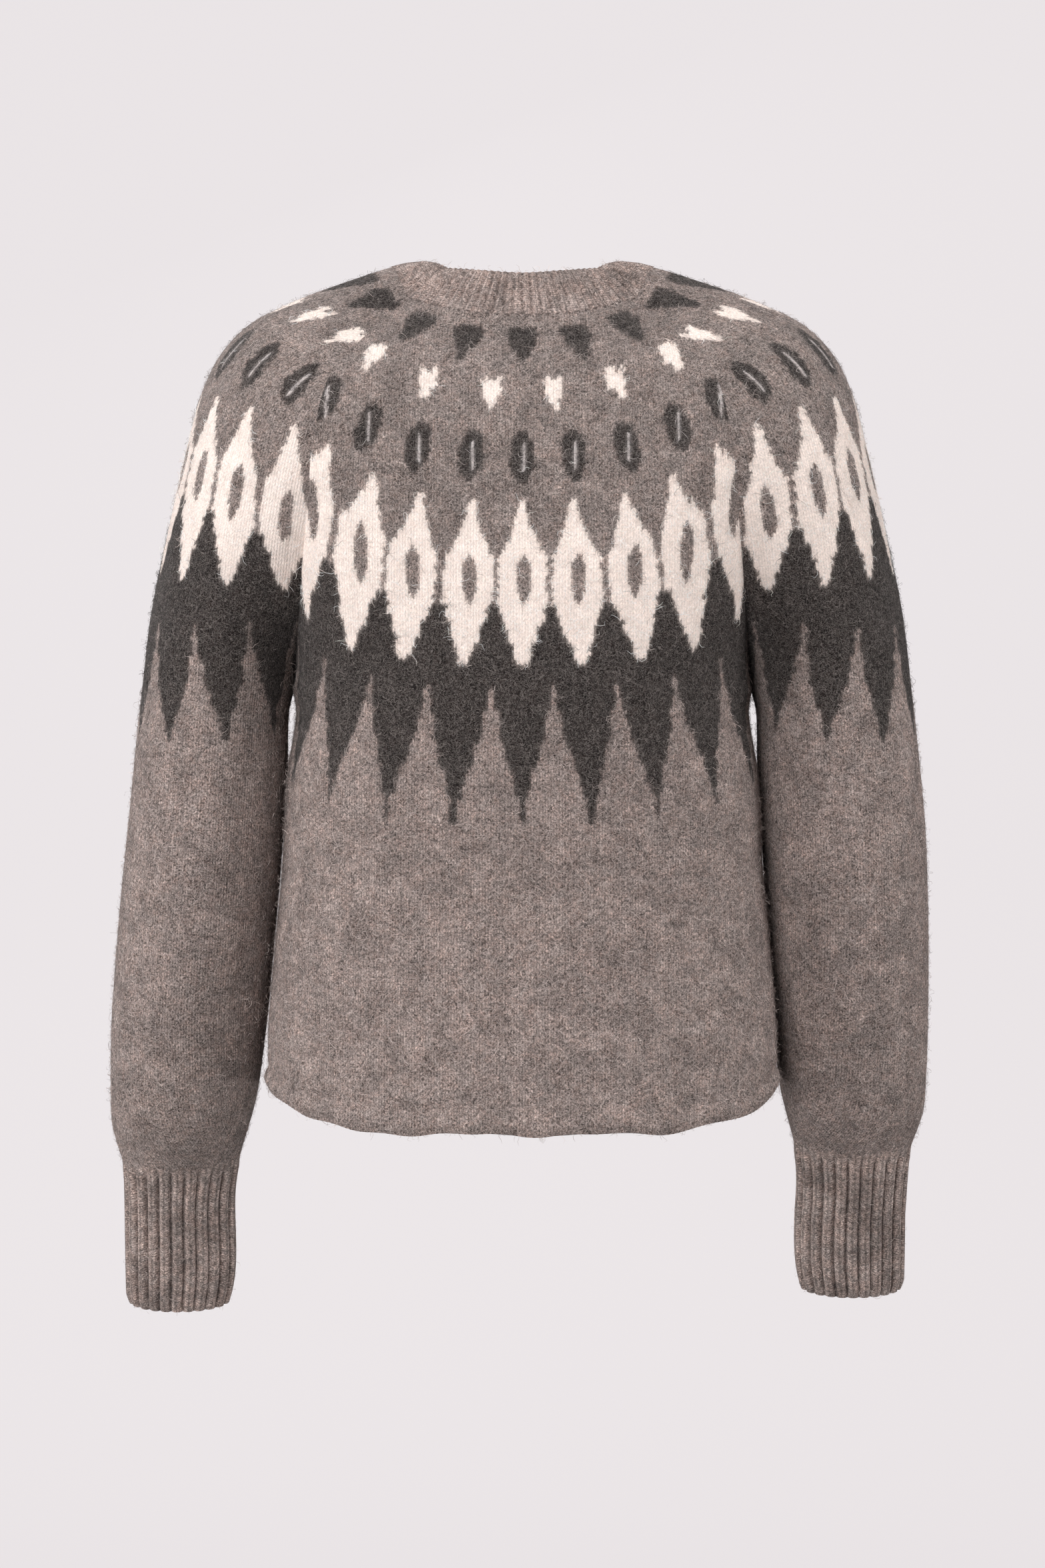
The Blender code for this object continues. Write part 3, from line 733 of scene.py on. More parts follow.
def close_rims(mesh, outer, inner, picks, colour):
    """Closes all four rims between the outer and the inner points of a piece."""
    bridge(mesh, outer[0][::-1], inner[0][::-1], colour)
    bridge(mesh, outer[-1], inner[-1], colour)
    for column, back in ((0, False), (-1, True)):
        bridge_side(mesh, outer[:, column], inner[:, column], picks, back, colour)


def row_numbers(place, middle):
    """Surface rows that lie one knitted row apart along the panel's middle line."""
    dense = np.linspace(0.0, 2.0, 1500)
    run = run_along(place(dense[:, None], np.array([[middle]]))[:, 0])
    count = int(round(run[-1] / ROW))
    return np.interp(np.linspace(0.0, run[-1], count + 1), run, dense)


def column_places(length, origin, seam_first, seam_last, reach_first, reach_last):
    """Places of the half stitches along one row, as lengths from its first end.

    Whole stitches are counted out from the origin. Beside a raglan seam the last few stitches run along it.
    """
    edge = SEAM_STITCHES * STITCH
    steps = np.arange(-2 * reach_first - 1, 2 * reach_last + 2)
    main = origin + steps * STITCH / 2
    low = edge if seam_first else 0.0
    high = length - (edge if seam_last else 0.0)
    inside = (main > low) & (main < high)
    main = np.clip(main, low, max(high, low))
    parts = [main]
    odd = [(steps % 2 == 0) & inside]
    beside = np.arange(0, 2 * SEAM_STITCHES)
    if seam_first:
        parts.insert(0, beside * STITCH / 2)
        odd.insert(0, beside % 2 == 1)
    if seam_last:
        parts.append(length - beside[::-1] * STITCH / 2)
        odd.append(beside[::-1] % 2 == 1)
    return np.concatenate(parts), np.concatenate(odd)


def lay_stitches(rows, place, origin_at, seams):
    """Lays the half stitches of every row on the panel's surface.

    Returns their places as lengths along the row, which of them are middles of a stitch, the rows' lengths
    and origins, the places as shares of the row, and the points.
    """
    shares = np.linspace(0.0, 1.0, ROW_SAMPLES)
    dense = place(rows[:, None], shares[None, :])
    runs = np.array([run_along(line) for line in dense])
    lengths = runs[:, -1]
    origins = np.array([np.interp(origin_at, shares, run) for run in runs])
    reach_first = int(np.ceil(origins.max() / STITCH)) + 1
    reach_last = int(np.ceil((lengths - origins).max() / STITCH)) + 1
    laid = [column_places(*pair, *seams, reach_first, reach_last) for pair in zip(lengths, origins)]
    placed = np.array([columns for columns, _ in laid])
    centre = np.array([middles for _, middles in laid])
    share_at = np.array([np.interp(at, run, shares) for at, run in zip(placed, runs)])
    grid = np.array([points_along(*drawn) for drawn in zip(dense, runs, placed)])
    return placed, centre, lengths, origins, share_at, grid


def raise_stitches(grid, normals, centre, relief):
    """The outer points in relief. Those between stitches lie half a row higher, and the edges reach out."""
    upper = grid.copy()
    upper[1:-1] = (grid[1:-1] + grid[:-2]) / 2
    outer = np.where(centre[..., None], grid, upper) + normals * relief[..., None]
    for edge, inner in ((0, 2), (-1, -3)):
        outer[:, edge] += unit(grid[:, edge] - grid[:, inner]) * SEAM_REACH
        outer[edge] += unit(grid[edge] - grid[inner]) * SEAM_REACH
    return outer


def panel_yarn(kind, rows, placed, origins, share_at, side_of):
    """The colour and the heather of the yarn in every cell of a panel."""
    middle_place = (placed[:-1, 1:] + placed[:-1, :-1] + placed[1:, 1:] + placed[1:, :-1]) / 4
    middle_row = (rows[:-1] + rows[1:])[:, None] / 2 * np.ones_like(middle_place)
    counted = (middle_place - (origins[:-1, None] + origins[1:, None]) / 2) / STITCH
    share = (share_at[:-1, 1:] + share_at[:-1, :-1]) / 2
    across = np.clip(np.abs(side_of(share, middle_row)), 0, 1)
    return YARNS[yarn_numbers(kind, chart_row(kind, middle_row, across), counted)]


def corner_colours(yarn):
    """Each cell's yarn at its four corners, where it blends a little into its neighbours' yarns."""
    padded = np.pad(yarn, ((1, 1), (1, 1), (0, 0)), mode="edge")
    blended = (padded[:-1, :-1] + padded[:-1, 1:] + padded[1:, :-1] + padded[1:, 1:]) / 4
    own = np.repeat(yarn.reshape(-1, 1, 4), 4, axis=1)
    return own * (1 - SOFT_EDGE) + at_corners(blended) * SOFT_EDGE


def knit_panel(name, kind, place, middle, seams, side_of, material):
    """One knitted panel: place(rows, shares) gives its surface, shares running from 0 to 1 clockwise."""
    rows = row_numbers(place, middle)
    placed, centre, lengths, origins, share_at, grid = lay_stitches(rows, place, middle, seams)
    normals = panel_normals(rows, share_at, place)
    relief = np.where(centre, STITCH_RISE, STITCH_DIP) + seam_relief(placed, lengths, seams, rows)
    fresh = np.concatenate([np.ones((len(rows), 1), bool), np.diff(placed, axis=1) > 1e-7], axis=1)
    ids = (np.cumsum(fresh.ravel()) - 1).reshape(fresh.shape)
    mesh = Mesh()
    mesh.add_points(raise_stitches(grid, normals, centre, relief)[fresh])
    yarn = panel_yarn(kind, rows, placed, origins, share_at, side_of)
    count = len(rows) - 1
    row_index = np.arange(len(rows))[:, None] - np.where(centre, 0.0, 0.5)
    row_index[0] = 0
    row_index[-1] = count
    uv = np.stack([(placed - origins[:, None]) / STITCH + 0.5, -row_index], axis=-1)
    bake = np.stack([OUTSIDE_WIDTH * placed / lengths.max(), row_index / count], axis=-1)
    mesh.add_uneven_cells(ids, uv, bake, corner_colours(yarn))
    add_inside(mesh, rows, place, ids)
    return mesh.make(name, material), grid, normals, yarn


def panel_normals(rows, share_at, place):
    """Outward direction at every point of a panel, read from its surface a little to each side."""
    step = 0.004
    level = rows[:, None] * np.ones_like(share_at)
    above = np.clip(level - step, rows.min(), rows.max())
    below = np.clip(level + step, rows.min(), rows.max())
    behind = np.clip(share_at - step, 0, 1)
    ahead = np.clip(share_at + step, 0, 1)
    along = place(level, ahead) - place(level, behind)
    return unit(np.cross(along, place(below, share_at) - place(above, share_at)))


def seam_relief(placed, lengths, seams, rows):
    """Grooves between the columns of stitches that run along a raglan seam."""
    relief = np.zeros_like(placed)
    fade = np.interp(rows, (0.0, 0.3, 0.6, 1.1), (1.0, 0.9, 0.3, 0.1))
    for used, away in zip(seams, (placed, lengths[:, None] - placed)):
        if used:
            near = away <= SEAM_STITCHES * STITCH + 1e-6
            wave = np.cos(2 * math.pi * away / STITCH)
            relief += np.where(near, SEAM_GROOVE * (wave - 0.4) * fade[:, None], 0.0)
    return relief


def every(step, last):
    """Every so many numbers from 0 on, and the last one."""
    return np.unique(np.append(np.arange(0, last, step), last))


def add_inside(mesh, rows, place, ids):
    """The plain inside of a panel, coarser than its outside, and the rims that join the two."""
    picks = every(INNER_STEP, len(rows) - 1)
    shares = np.linspace(0.0, 1.0, INNER_COLUMNS + 1)
    level, across = np.broadcast_arrays(rows[picks][:, None], shares[None, :])
    inner = place(level, across) - panel_normals(rows[picks], across, place) * KNIT
    inside = mesh.add_points(inner) + np.arange(level.size).reshape(level.shape)
    uv = np.stack([across * 100, -level * 80], axis=-1)
    down = (level - rows[0]) / (rows[-1] - rows[0])
    bake = np.stack([INSIDE_FROM + INSIDE_WIDTH * across, down], axis=-1)
    mesh.add_cells(inside, uv, bake, PLAIN, inward=True)
    close_rims(mesh, ids, inside, picks, PLAIN)


def wavy_hem(points, rows):
    """Lets the hem's edge rise and fall a little."""
    x, y = points[..., 0], points[..., 1]
    wave = np.sin(70 * x + 40 * y + 1) + 0.6 * np.sin(150 * x - 60 * y)
    moved = points.copy()
    moved[..., 2] += HEM_WAVE * wave * np.interp(rows, (1.8, 2.0), (0.0, 1.0))
    return moved


def back_place(rows, shares):
    """Surface of the back, read by row and by share from its right edge to its left one."""
    return wavy_hem(torso(rows, 2 * shares - 1, 1), rows)


def front_place(side):
    """Surface of a front panel, read by row and by share, clockwise from above."""

    def place(rows, shares):
        band = np.abs(along_at(rows, BAND_HALF + SEAM / 2, -1))
        if side > 0:
            return wavy_hem(torso(rows, 1 + (band - 1) * shares, -1), rows)
        return wavy_hem(torso(rows, -(band + (1 - band) * shares), -1), rows)

    return place


def front_across(side):
    """How far a front's stitches are from the centre plane, as a share of the way to the raglan line."""

    def across(shares, rows):
        band = np.abs(along_at(rows, BAND_HALF, -1))
        return 1 + (band - 1) * shares if side > 0 else band + (1 - band) * shares

    return across


def sleeve_place(side):
    """Surface of a sleeve, read by row and by share, clockwise from above."""
    return lambda rows, shares: arm(rows, side * (2 * shares - 1), side)


def knit_pieces(material):
    """The five knitted panels, with what the fuzz needs to know of their surfaces."""
    across = lambda shares, rows: 2 * shares - 1
    both = (True, True)
    made = {"back": knit_panel("back", "torso", back_place, 0.5, both, across, material)}
    for name, side in (("front_left", 1), ("front_right", -1)):
        edge = 1.0 if side > 0 else 0.0
        seams = (side > 0, side < 0)
        made[name] = knit_panel(name, "torso", front_place(side), edge, seams, front_across(side), material)
    for name, side in (("sleeve_left", 1), ("sleeve_right", -1)):
        made[name] = knit_panel(name, "sleeve", sleeve_place(side), 0.5, both, across, material)
    return made


def rib_piece(name, grid, profile, ends, material, rolled=()):
    """A ribbed piece on a fine grid of points, with a relief across its ribs and a plain inside.

    The ends say how much of the relief is left at the first row and at the last. Rolled says how far each of
    the first rows bends in.
    """
    rows, columns = grid.shape[:2]
    normals = grid_normals(grid)
    phase = np.arange(columns) / RIB_POINTS
    marks = (0, RIB_FADE, rows - 1 - RIB_FADE, rows - 1)
    left = np.interp(np.arange(rows), marks, (ends[0], 1.0, 1.0, ends[1]))
    outer = grid + normals * profile(phase)[None, :, None] * left[:, None, None]
    outer[0] += unit(grid[0] - grid[1]) * SEAM_REACH
    for row, drop in enumerate(rolled):
        outer[row] -= normals[row] * drop
    mesh = Mesh()
    ids = mesh.add_points(outer) + np.arange(rows * columns).reshape(rows, columns)
    run = run_along(grid[:, 0])[:, None]
    across, down = np.broadcast_arrays(phase[None, :], run)
    uv = np.stack([across, -down / RIB_ROW], axis=-1)
    bake = np.stack([OUTSIDE_WIDTH * across / phase[-1], down / run[-1]], axis=-1)
    mesh.add_cells(ids, uv, bake, RIBBED)
    picks = every(RIB_INNER_STEP, rows - 1)
    coarse = np.ix_(picks, np.arange(0, columns, RIB_POINTS))
    inner = grid[coarse] - normals[coarse] * KNIT
    inside = mesh.add_points(inner) + np.arange(inner[..., 0].size).reshape(inner.shape[:2])
    inner_bake = np.stack([INSIDE_FROM + INSIDE_WIDTH * bake[..., 0] / OUTSIDE_WIDTH, bake[..., 1]], axis=-1)
    mesh.add_cells(inside, uv[coarse], inner_bake[coarse], RIBBED, inward=True)
    close_rims(mesh, ids, inside, picks, RIBBED)
    yarn = np.broadcast_to(np.array(RIBBED), (rows - 1, columns - 1, 4))
    return mesh.make(name, material), grid, normals, yarn


def neck_profile(phase):
    """Relief of the fine neck ribs."""
    return NECK_RIB_RISE * (0.30 + 1.25 * np.cos(2 * math.pi * (phase - 0.5)))


def cuff_profile(phase):
    """Relief of the cuff's ribs: broad crests with narrow grooves between them."""
    away = np.abs(phase - np.round(phase))
    return CUFF_RIB_RISE * (1.05 - 2.8 * np.exp(-((away / 0.16) ** 2)))


def band_profile(phase):
    """Relief of the upright ribs on the front bands."""
    return BAND_RIB_RISE * (0.35 + 0.75 * np.cos(2 * math.pi * (phase - 0.5)))


def rib_pieces(material):
    """Neckband, cuffs and front bands."""
    made = {}
    rows = np.linspace(NECK_EDGE, 0.0, NECK_ROWS)
    grid = even_columns([neck_ring(row) for row in rows], NECK_RIBS * RIB_POINTS + 1)
    made["neckband"] = rib_piece("neckband", grid, neck_profile, (0.5, 0.7), material, NECK_ROLL)
    for name, side in (("cuff_left", 1), ("cuff_right", -1)):
        dense = np.linspace(-1.0, 1.0, 361)
        rings = [arm(row, side * dense, side) for row in np.linspace(2.0, CUFF_END, CUFF_ROWS)]
        grid = even_columns(rings, CUFF_RIBS * RIB_POINTS + 1)
        made[name] = rib_piece(name, grid, cuff_profile, (0.0, 0.5), material)
    lap = WALL + SEAM + BAND_RIB_RISE
    for name, lifts in (("buttonhole_band", (0.0, lap)), ("button_band", (-lap, 0.0))):
        made[name] = rib_piece(name, fine_band(*lifts), band_profile, (1.0, 1.0), material)
    return made


def fine_band(lift_right, lift_left):
    """Fine grid of a front band, lifted off the chest like its solid."""
    dense = np.linspace(NECK_EDGE, 2.0, 900)
    run = run_along(torso(dense, 0.0, -1))
    rows = np.interp(np.linspace(0.0, run[-1], int(run[-1] / ROW) + 1), run, dense)[:, None]
    inset = BAND_HALF - SEAM
    x = np.linspace(inset, -inset, BAND_RIBS * RIB_POINTS + 1)[None, :]
    grid = wavy_hem(torso(rows, along_at(rows, x, -1), -1), rows)
    share = ((x + inset) / (2 * inset))[..., None]
    return grid + grid_normals(grid) * (lift_right + (lift_left - lift_right) * share)


def lathe(name, profile, steps, material):
    """A mesh turned round the Z axis from a list of radius and height pairs."""
    mesh = Mesh()
    angles = np.linspace(0.0, 2 * math.pi, steps + 1)[None, :]
    radius, height = np.array(profile).T[:, :, None]
    points = np.stack(
        [radius * np.cos(angles), radius * np.sin(angles), height * np.ones_like(angles)], axis=-1
    )
    mesh.add_points(points)
    ids = np.arange(points[..., 0].size).reshape(points.shape[:2])
    ids[:, -1] = ids[:, 0]
    for i in np.nonzero(radius[:, 0] < 1e-9)[0]:
        ids[i] = ids[i, 0]
    down = np.linspace(0, 1, len(profile))[:, None]
    shares = np.stack(np.broadcast_arrays(angles / (2 * math.pi), down), axis=-1)
    white = np.ones(((ids.shape[0] - 1) * (ids.shape[1] - 1), 4, 4))
    mesh.add_uneven_cells(ids, shares, shares, white)
    return mesh.make(name, material)


def button_turn(height):
    """How a button at a height is turned to lie flat on the chest."""
    dense = np.linspace(NECK_EDGE, 2, 400)
    row = np.interp(-height, -smooth(TORSO, "front_z", dense), dense)
    near = torso(np.array([row - 0.02, row + 0.02]), 0.0, -1)
    out = Vector(unit(np.cross(np.array((-1.0, 0.0, 0.0)), unit(near[1] - near[0]))))
    if out.y > 0:
        out = -out
    return out, out.to_track_quat("Z", "Y")


def seat(piece, place, turn):
    """Places a turned piece and attaches it to the part's one body."""
    piece.rotation_mode = "QUATERNION"
    piece.rotation_quaternion = turn
    piece.location = place
    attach(piece, "root")


def button_pieces(material, dark):
    """Finely turned buttons on the seats of the solid ones, each with its sewing holes drawn as dark discs
    of painted shade.
    """
    outline = [(radius * BUTTON_RADIUS, height * BUTTON_THICK) for radius, height in BUTTON_OUTLINE]
    for number, height in enumerate(np.linspace(TOP_BUTTON_Z, LOW_BUTTON_Z, BUTTONS), start=1):
        low, high = (Vector(corner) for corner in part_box(f"button_{number}"))
        out, turn = button_turn(height)
        button = lathe(f"button_{number}_turned", outline, BUTTON_STEPS, material)
        seat(button, (low + high) / 2 - out * BUTTON_THICK / 2, turn)
        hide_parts(f"button_{number}")
        for k in range(SEWING_HOLES):
            angle = math.pi / 4 + k * 2 * math.pi / SEWING_HOLES
            across, up = math.cos(angle) * HOLE_REACH, math.sin(angle) * HOLE_REACH
            # Each hole is a thin dark disc on the button's face, painted shade where the hole would be
            hole = lathe(f"button_{number}_hole_{k + 1}", HOLE_OUTLINE, HOLE_STEPS, dark)
            seat(hole, button.location + turn @ Vector((across, up, BUTTON_THICK * BUTTON_FACE)), turn)


def hairs(name, roots, outs, yarn, rng, material, length, lift):
    """Fine curly fibres as narrow ribbons that leave the cloth at their roots, in their yarn's colour."""
    count = len(roots)
    segments = FIBRE_SEGMENTS
    helper = np.where(np.abs(outs[:, 2:3]) < 0.8, np.array([[0.0, 0.0, 1.0]]), np.array([[1.0, 0.0, 0.0]]))
    right = unit(np.cross(helper, outs))
    ahead = np.cross(outs, right)
    steps = np.linspace(0.0, 1.0, segments + 1)
    heading = rng.uniform(0, 2 * math.pi, (count, 1))
    curl = rng.normal(0, CURL, (count, 1))
    wave = rng.uniform(0, 2 * math.pi, (count, 1))
    swing = rng.uniform(*SWING, (count, 1))
    angle = heading + curl * steps + swing * np.sin(wave + steps * rng.uniform(*WAVES, (count, 1)))
    long = length * rng.uniform(*LENGTH_SPREAD, (count, 1))
    high = lift * rng.gamma(*HEIGHT_GAMMA, (count, 1))
    loose = rng.random((count, 1)) < LOOSE_SHARE
    rise = np.where(loose, steps**1.3, np.sin(steps * math.pi * 0.93))
    step = long / segments
    spine = roots[:, None]
    for way, turned in ((right, np.cos(angle)), (ahead, np.sin(angle))):
        gone = np.pad(np.cumsum(turned[:, :-1] * step, axis=1), ((0, 0), (1, 0)))
        spine = spine + way[:, None] * gone[..., None]
    spine = spine + outs[:, None] * (0.0001 + high * rise)[..., None]
    along = unit(np.gradient(spine, axis=1))
    flat = unit(np.cross(along, outs[:, None] + 0.5 * rng.normal(0, 1, (count, 1, 3))))
    taper = np.array([0.8] + [1.0] * (segments - 1) + [0.35])[None, :, None] * FIBRE_WIDTH / 2
    points = np.stack([spine - flat * taper, spine + flat * taper], axis=2)
    mesh = Mesh()
    mesh.add_points(points)
    base = np.arange(count)[:, None] * (segments + 1) * 2 + np.arange(segments)[None, :] * 2
    corners = np.stack([base, base + 1, base + 3, base + 2], axis=-1).reshape(-1, 4)
    low = np.tile(steps[:-1], count)[:, None]
    top = np.tile(steps[1:], count)[:, None]
    u = np.concatenate([low * 0, low * 0 + 1, top * 0 + 1, top * 0], axis=1)
    v = np.concatenate([low, low, top, top], axis=1)
    uv = np.stack([u, v], axis=-1)
    pale = np.array(PALE_FIBRE) * np.clip(0.45 + 2.2 * yarn[:, :1], 0, 1)
    colour = yarn[:, :3] * rng.uniform(0.4 + 0.4 * yarn[:, 2:3], 1.3) + pale * rng.random((count, 1)) ** 2
    colour = np.column_stack([np.minimum(colour, LIGHTEST), np.ones(count)])
    mesh.add_faces(corners, np.full(len(corners), 4), uv, uv, np.repeat(colour, segments * 4, axis=0))
    return mesh.make(name, material)


def scatter(grid, normals, yarn, count, rng):
    """Random points spread evenly over a grid's surface, with their outward directions and their yarn."""
    area = np.linalg.norm(cell_normals(grid), axis=-1).ravel()
    chosen = rng.choice(len(area), size=count, p=area / area.sum())
    row, column = np.unravel_index(chosen, (grid.shape[0] - 1, grid.shape[1] - 1))
    across = rng.random((count, 1))
    down = rng.random((count, 1))
    mix = lambda values: (
        values[row, column] * (1 - across) * (1 - down)
        + values[row, column + 1] * across * (1 - down)
        + values[row + 1, column] * (1 - across) * down
        + values[row + 1, column + 1] * across * down
    )
    return mix(grid), unit(mix(normals)), yarn[row, column]


def add_fuzz(surfaces, material):
    """The brushed halo over the panels, the neckband and the cuffs."""
    rng = np.random.default_rng(FUZZ_SEED)
    for name, full in FUZZ.items():
        count = full
        ribbed = name.startswith(("neck", "cuff"))
        roots, outs, yarn = scatter(*surfaces[name], count, rng)
        size = RIB_FIBRES if ribbed else PANEL_FIBRES
        fuzz = hairs(f"{name}_fuzz", roots, outs, yarn, rng, material, *size)
        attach(fuzz, "root")


def node(tree, kind, **values):
    """Adds a shader node and sets its properties and unlinked inputs."""
    made = tree.nodes.new(kind)
    for name, value in values.items():
        if hasattr(made, name):
            setattr(made, name, value)
        else:
            made.inputs[name.replace("_", " ")].default_value = value
    return made


def maths(tree, operation, a, b=None):
    """A Math node on two sockets or numbers; returns its output."""
    made = tree.nodes.new("ShaderNodeMath")
    made.operation = operation
    for socket, value in zip(made.inputs, (a, b)):
        if value is None:
            continue
        if isinstance(value, (int, float)):
            socket.default_value = value
        else:
            tree.links.new(value, socket)
    return made.outputs[0]


def times(tree, a, b):
    """The product of two sockets or numbers."""
    return maths(tree, "MULTIPLY", a, b)


def mix_colour(tree, blend, factor, a, b):
    """A colour Mix node; each of its inputs is a socket or a value. Returns its output."""
    made = tree.nodes.new("ShaderNodeMix")
    made.data_type = "RGBA"
    made.blend_type = blend
    for name, value in ((0, factor), (6, a), (7, b)):
        socket = made.inputs[name]
        if isinstance(value, bpy.types.NodeSocket):
            tree.links.new(value, socket)
        elif isinstance(value, (int, float)):
            socket.default_value = value
        else:
            socket.default_value = (*value, 1.0)
    return made.outputs[2]


def blank(name, surface):
    """A new material, its node tree and its Principled shader with the surface's values."""
    made = bpy.data.materials.new(name)
    made.use_nodes = True
    shader = made.node_tree.nodes["Principled BSDF"]
    for socket, value in surface.items():
        shader.inputs[socket].default_value = value
    return made, made.node_tree, shader


def noise(tree, place, scale, detail, distortion):
    """A noise texture's value on the given coordinates."""
    made = tree.nodes.new("ShaderNodeTexNoise")
    tree.links.new(place, made.inputs["Vector"])
    made.inputs["Scale"].default_value = scale
    made.inputs["Detail"].default_value = detail
    made.inputs["Distortion"].default_value = distortion
    return made.outputs["Fac"]


def knit_height(tree, u, v):
    """Height of knitted stitches: two slanting legs to a stitch, meeting in a V."""
    part = maths(tree, "FRACT", u)
    away = times(tree, maths(tree, "ABSOLUTE", maths(tree, "SUBTRACT", part, 0.5)), 2.0)
    leg = maths(tree, "SINE", times(tree, away, math.pi))
    slant = maths(tree, "FRACT", maths(tree, "SUBTRACT", v, times(tree, away, 0.9)))
    loop = maths(tree, "POWER", maths(tree, "SINE", times(tree, slant, math.pi)), 0.6)
    return times(tree, leg, loop)


def stretch(tree, value, low, high, out_low, out_high):
    """Spreads a value's range between two others."""
    made = tree.nodes.new("ShaderNodeMapRange")
    tree.links.new(value, made.inputs[0])
    for socket, number in zip(made.inputs[1:5], (low, high, out_low, out_high)):
        socket.default_value = number
    return made.outputs[0]


def thin_lines(tree, value, level, sharpness):
    """Thin curling lines where a noise passes a level."""
    away = maths(tree, "ABSOLUTE", maths(tree, "SUBTRACT", value, level))
    return maths(tree, "SUBTRACT", 1.0, maths(tree, "MINIMUM", times(tree, away, sharpness), 1.0))


def wool_colour(tree, place, stitches, strand, lines, depth, fibre, grain):
    """The yarn's colour with its heather, painted shade between stitches and painted light on their crests,
    painted fibre shadows as thin dark lines, and pale fibres.
    """
    attribute = node(tree, "ShaderNodeVertexColor", layer_name="Yarn")
    yarn = attribute.outputs["Color"]
    mottle = attribute.outputs["Alpha"]
    speck = stretch(tree, noise(tree, place, *SPECKS), 0.38, 0.62, 1 - grain, 1 + grain)
    cloud = stretch(tree, noise(tree, place, *CLOUDS), 0.35, 0.65, 0.68, 1.32)
    hue = stretch(tree, noise(tree, place, *TINTS), 0.38, 0.62, 0.0, 1.0)
    more_lines = thin_lines(tree, noise(tree, place, *MORE_LINES), 0.46, 28.0)
    fibre_shadow_lines = thin_lines(tree, noise(tree, place, *FIBRE_SHADOW_LINES), 0.53, 20.0)
    colour = yarn
    tint = mix_colour(tree, "MIX", hue, WARM_TINT, COOL_TINT)
    for factor in (tint, speck, stretch(tree, strand, 0.38, 0.62, 0.50, 1.50), cloud):
        colour = mix_colour(tree, "MULTIPLY", mottle, colour, factor)
    # Painted shade between the stitches and painted light on their crests, as strong as depth says
    stitch_shading = times(tree, maths(tree, "ADD", times(tree, mottle, 0.85), 0.15), depth)
    colour = mix_colour(tree, "MULTIPLY", stitch_shading, colour, stretch(tree, stitches, 0.0, 0.8, 0.35, 1.2))
    # Painted shadow: thin dark curling lines stand in for the shade that loose fibres cast on the cloth
    shadow = times(tree, times(tree, fibre_shadow_lines, 0.75), mottle)
    colour = mix_colour(tree, "MIX", shadow, colour, FIBRE_SHADOW_PAINT)
    light = times(tree, times(tree, maths(tree, "MAXIMUM", lines, more_lines), fibre), mottle)
    return mix_colour(tree, "MIX", light, colour, mix_colour(tree, "ADD", 1.0, yarn, PALER_BY))


def wool_relief(tree, stitches, strand, lines):
    """The stitches, strands and pale fibres in relief."""
    height = maths(tree, "ADD", maths(tree, "ADD", stitches, times(tree, lines, 0.4)), strand)
    bump = node(tree, "ShaderNodeBump", Strength=0.6, Distance=0.0005)
    tree.links.new(height, bump.inputs["Height"])
    return bump.outputs["Normal"]


def wool_material(name, depth, fibre, grain):
    """Heathered brushed wool on knitted stitches."""
    made, tree, shader = blank(name, WOOL)
    place = tree.nodes.new("ShaderNodeTexCoord").outputs["Object"]
    uv = node(tree, "ShaderNodeUVMap", uv_map="Stitch").outputs["UV"]
    split = tree.nodes.new("ShaderNodeSeparateXYZ")
    tree.links.new(uv, split.inputs[0])
    stitches = knit_height(tree, split.outputs["X"], split.outputs["Y"])
    strand = noise(tree, place, *STRANDS)
    lines = thin_lines(tree, noise(tree, place, *PALE_LINES), 0.50, 30.0)
    colour = wool_colour(tree, place, stitches, strand, lines, depth, fibre, grain)
    tree.links.new(colour, shader.inputs["Base Color"])
    tree.links.new(wool_relief(tree, stitches, strand, lines), shader.inputs["Normal"])
    return made


def fuzz_material():
    """Loose fibres in their yarn's colour."""
    made, tree, shader = blank("loose_fibres", FIBRE)
    yarn = node(tree, "ShaderNodeVertexColor", layer_name="Yarn").outputs["Color"]
    tree.links.new(yarn, shader.inputs["Base Color"])
    return made


def horn_material():
    """Dark polished horn with drifting lighter streaks."""
    made, tree, shader = blank("dark_horn", HORN)
    place = tree.nodes.new("ShaderNodeTexCoord").outputs["Object"]
    ramp = tree.nodes.new("ShaderNodeValToRGB")
    tree.links.new(noise(tree, place, *HORN_STREAKS), ramp.inputs[0])
    for element, (position, colour) in zip(ramp.color_ramp.elements, HORN_TONES):
        element.position = position
        element.color = (*colour, 1.0)
    tree.links.new(ramp.outputs[0], shader.inputs["Base Color"])
    return made


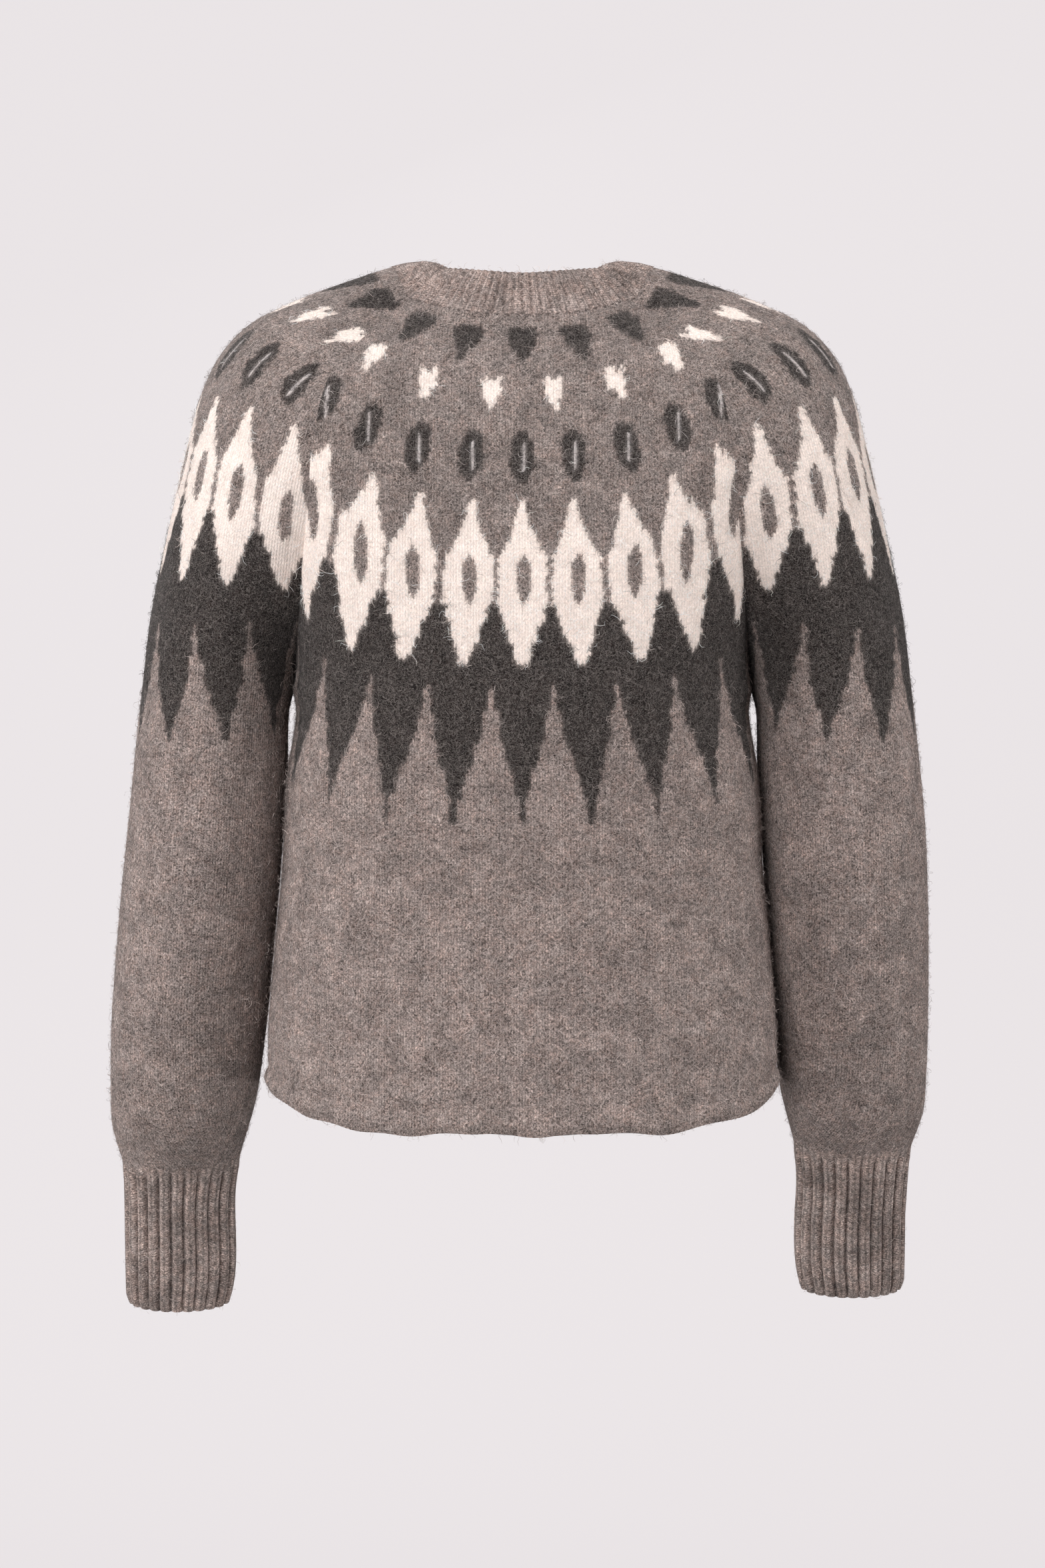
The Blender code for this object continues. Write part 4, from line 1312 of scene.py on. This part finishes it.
def make_stage():
    """A pale sweep: floor and backdrop in one curved sheet, far enough off to stay even."""
    profile = [(SWEEP_FRONT, SWEEP_FLOOR), (SWEEP_TURN, SWEEP_FLOOR)]
    for k in range(1, SWEEP_STEPS + 1):
        angle = k / SWEEP_STEPS * math.pi / 2
        back = SWEEP_TURN - math.sin(angle) * SWEEP_RADIUS
        profile.append((back, SWEEP_FLOOR + SWEEP_RADIUS - math.cos(angle) * SWEEP_RADIUS))
    profile.append((SWEEP_TURN - SWEEP_RADIUS, SWEEP_TOP))
    points = [(x, y, z) for y, z in profile for x in (-SWEEP_HALF, SWEEP_HALF)]
    faces = [(2 * i, 2 * i + 1, 2 * i + 3, 2 * i + 2) for i in range(len(profile) - 1)]
    sweep = bpy.data.meshes.new("sweep")
    sweep.from_pydata(points, [], faces)
    sweep.shade_smooth()
    sweep.materials.append(blank("pale_paper", PAPER)[0])
    made = put("sweep", sweep)
    made.visible_diffuse = False


def add_light(name, place, aim, size, power):
    """A soft square light aimed at a point."""
    lamp = bpy.data.lights.new(name, "AREA")
    lamp.shape = "SQUARE"
    lamp.size = size
    lamp.energy = power
    made = put(name, lamp)
    made.location = place
    made.rotation_mode = "QUATERNION"
    made.rotation_quaternion = (Vector(aim) - Vector(place)).to_track_quat("-Z", "Y")


def make_lights():
    """Soft studio light, mostly from the camera's side and above, with an even fill all round."""
    world = bpy.data.worlds.new("studio")
    bpy.context.scene.world = world
    world.use_nodes = True
    back = world.node_tree.nodes["Background"]
    back.inputs["Color"].default_value = (*WORLD_COLOUR, 1.0)
    back.inputs["Strength"].default_value = WORLD_STRENGTH
    for name, values in LIGHTS.items():
        add_light(name, *values)


def make_camera():
    """The photograph's camera: level, square to the back of the garment."""
    lens = bpy.data.cameras.new("photo_view")
    lens.sensor_fit = "VERTICAL"
    lens.sensor_height = SENSOR
    lens.lens = LENS
    lens.clip_start = 0.05
    lens.clip_end = 50.0
    made = put("photo_view", lens)
    made.location = (0.0, CAMERA_DISTANCE, CAMERA_HEIGHT)
    made.rotation_euler = (math.pi / 2, 0.0, math.pi)
    bpy.context.scene.camera = made


def main():
    """Dresses the frame."""
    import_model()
    wool = wool_material("brushed_wool", *BRUSHED)
    rib = wool_material("rib_wool", *RIB_LOOK)
    horn = horn_material()
    hole = blank("hole_shade", HOLE_SHADE)[0]
    panels = knit_pieces(wool)
    pieces = {**panels, **rib_pieces(rib)}
    surfaces = {}
    for name, (piece, grid, normals, yarn) in pieces.items():
        piece.name = f"{name}_knit"
        surfaces[name] = (grid, normals, yarn)
        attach(piece, "root")
        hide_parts(name)
    button_pieces(horn, hole)
    add_fuzz(surfaces, fuzz_material())
    make_stage()
    make_lights()
    make_camera()
    view = bpy.context.scene.view_settings
    view.view_transform = "Standard"
    view.look = "None"
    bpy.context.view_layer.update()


main()
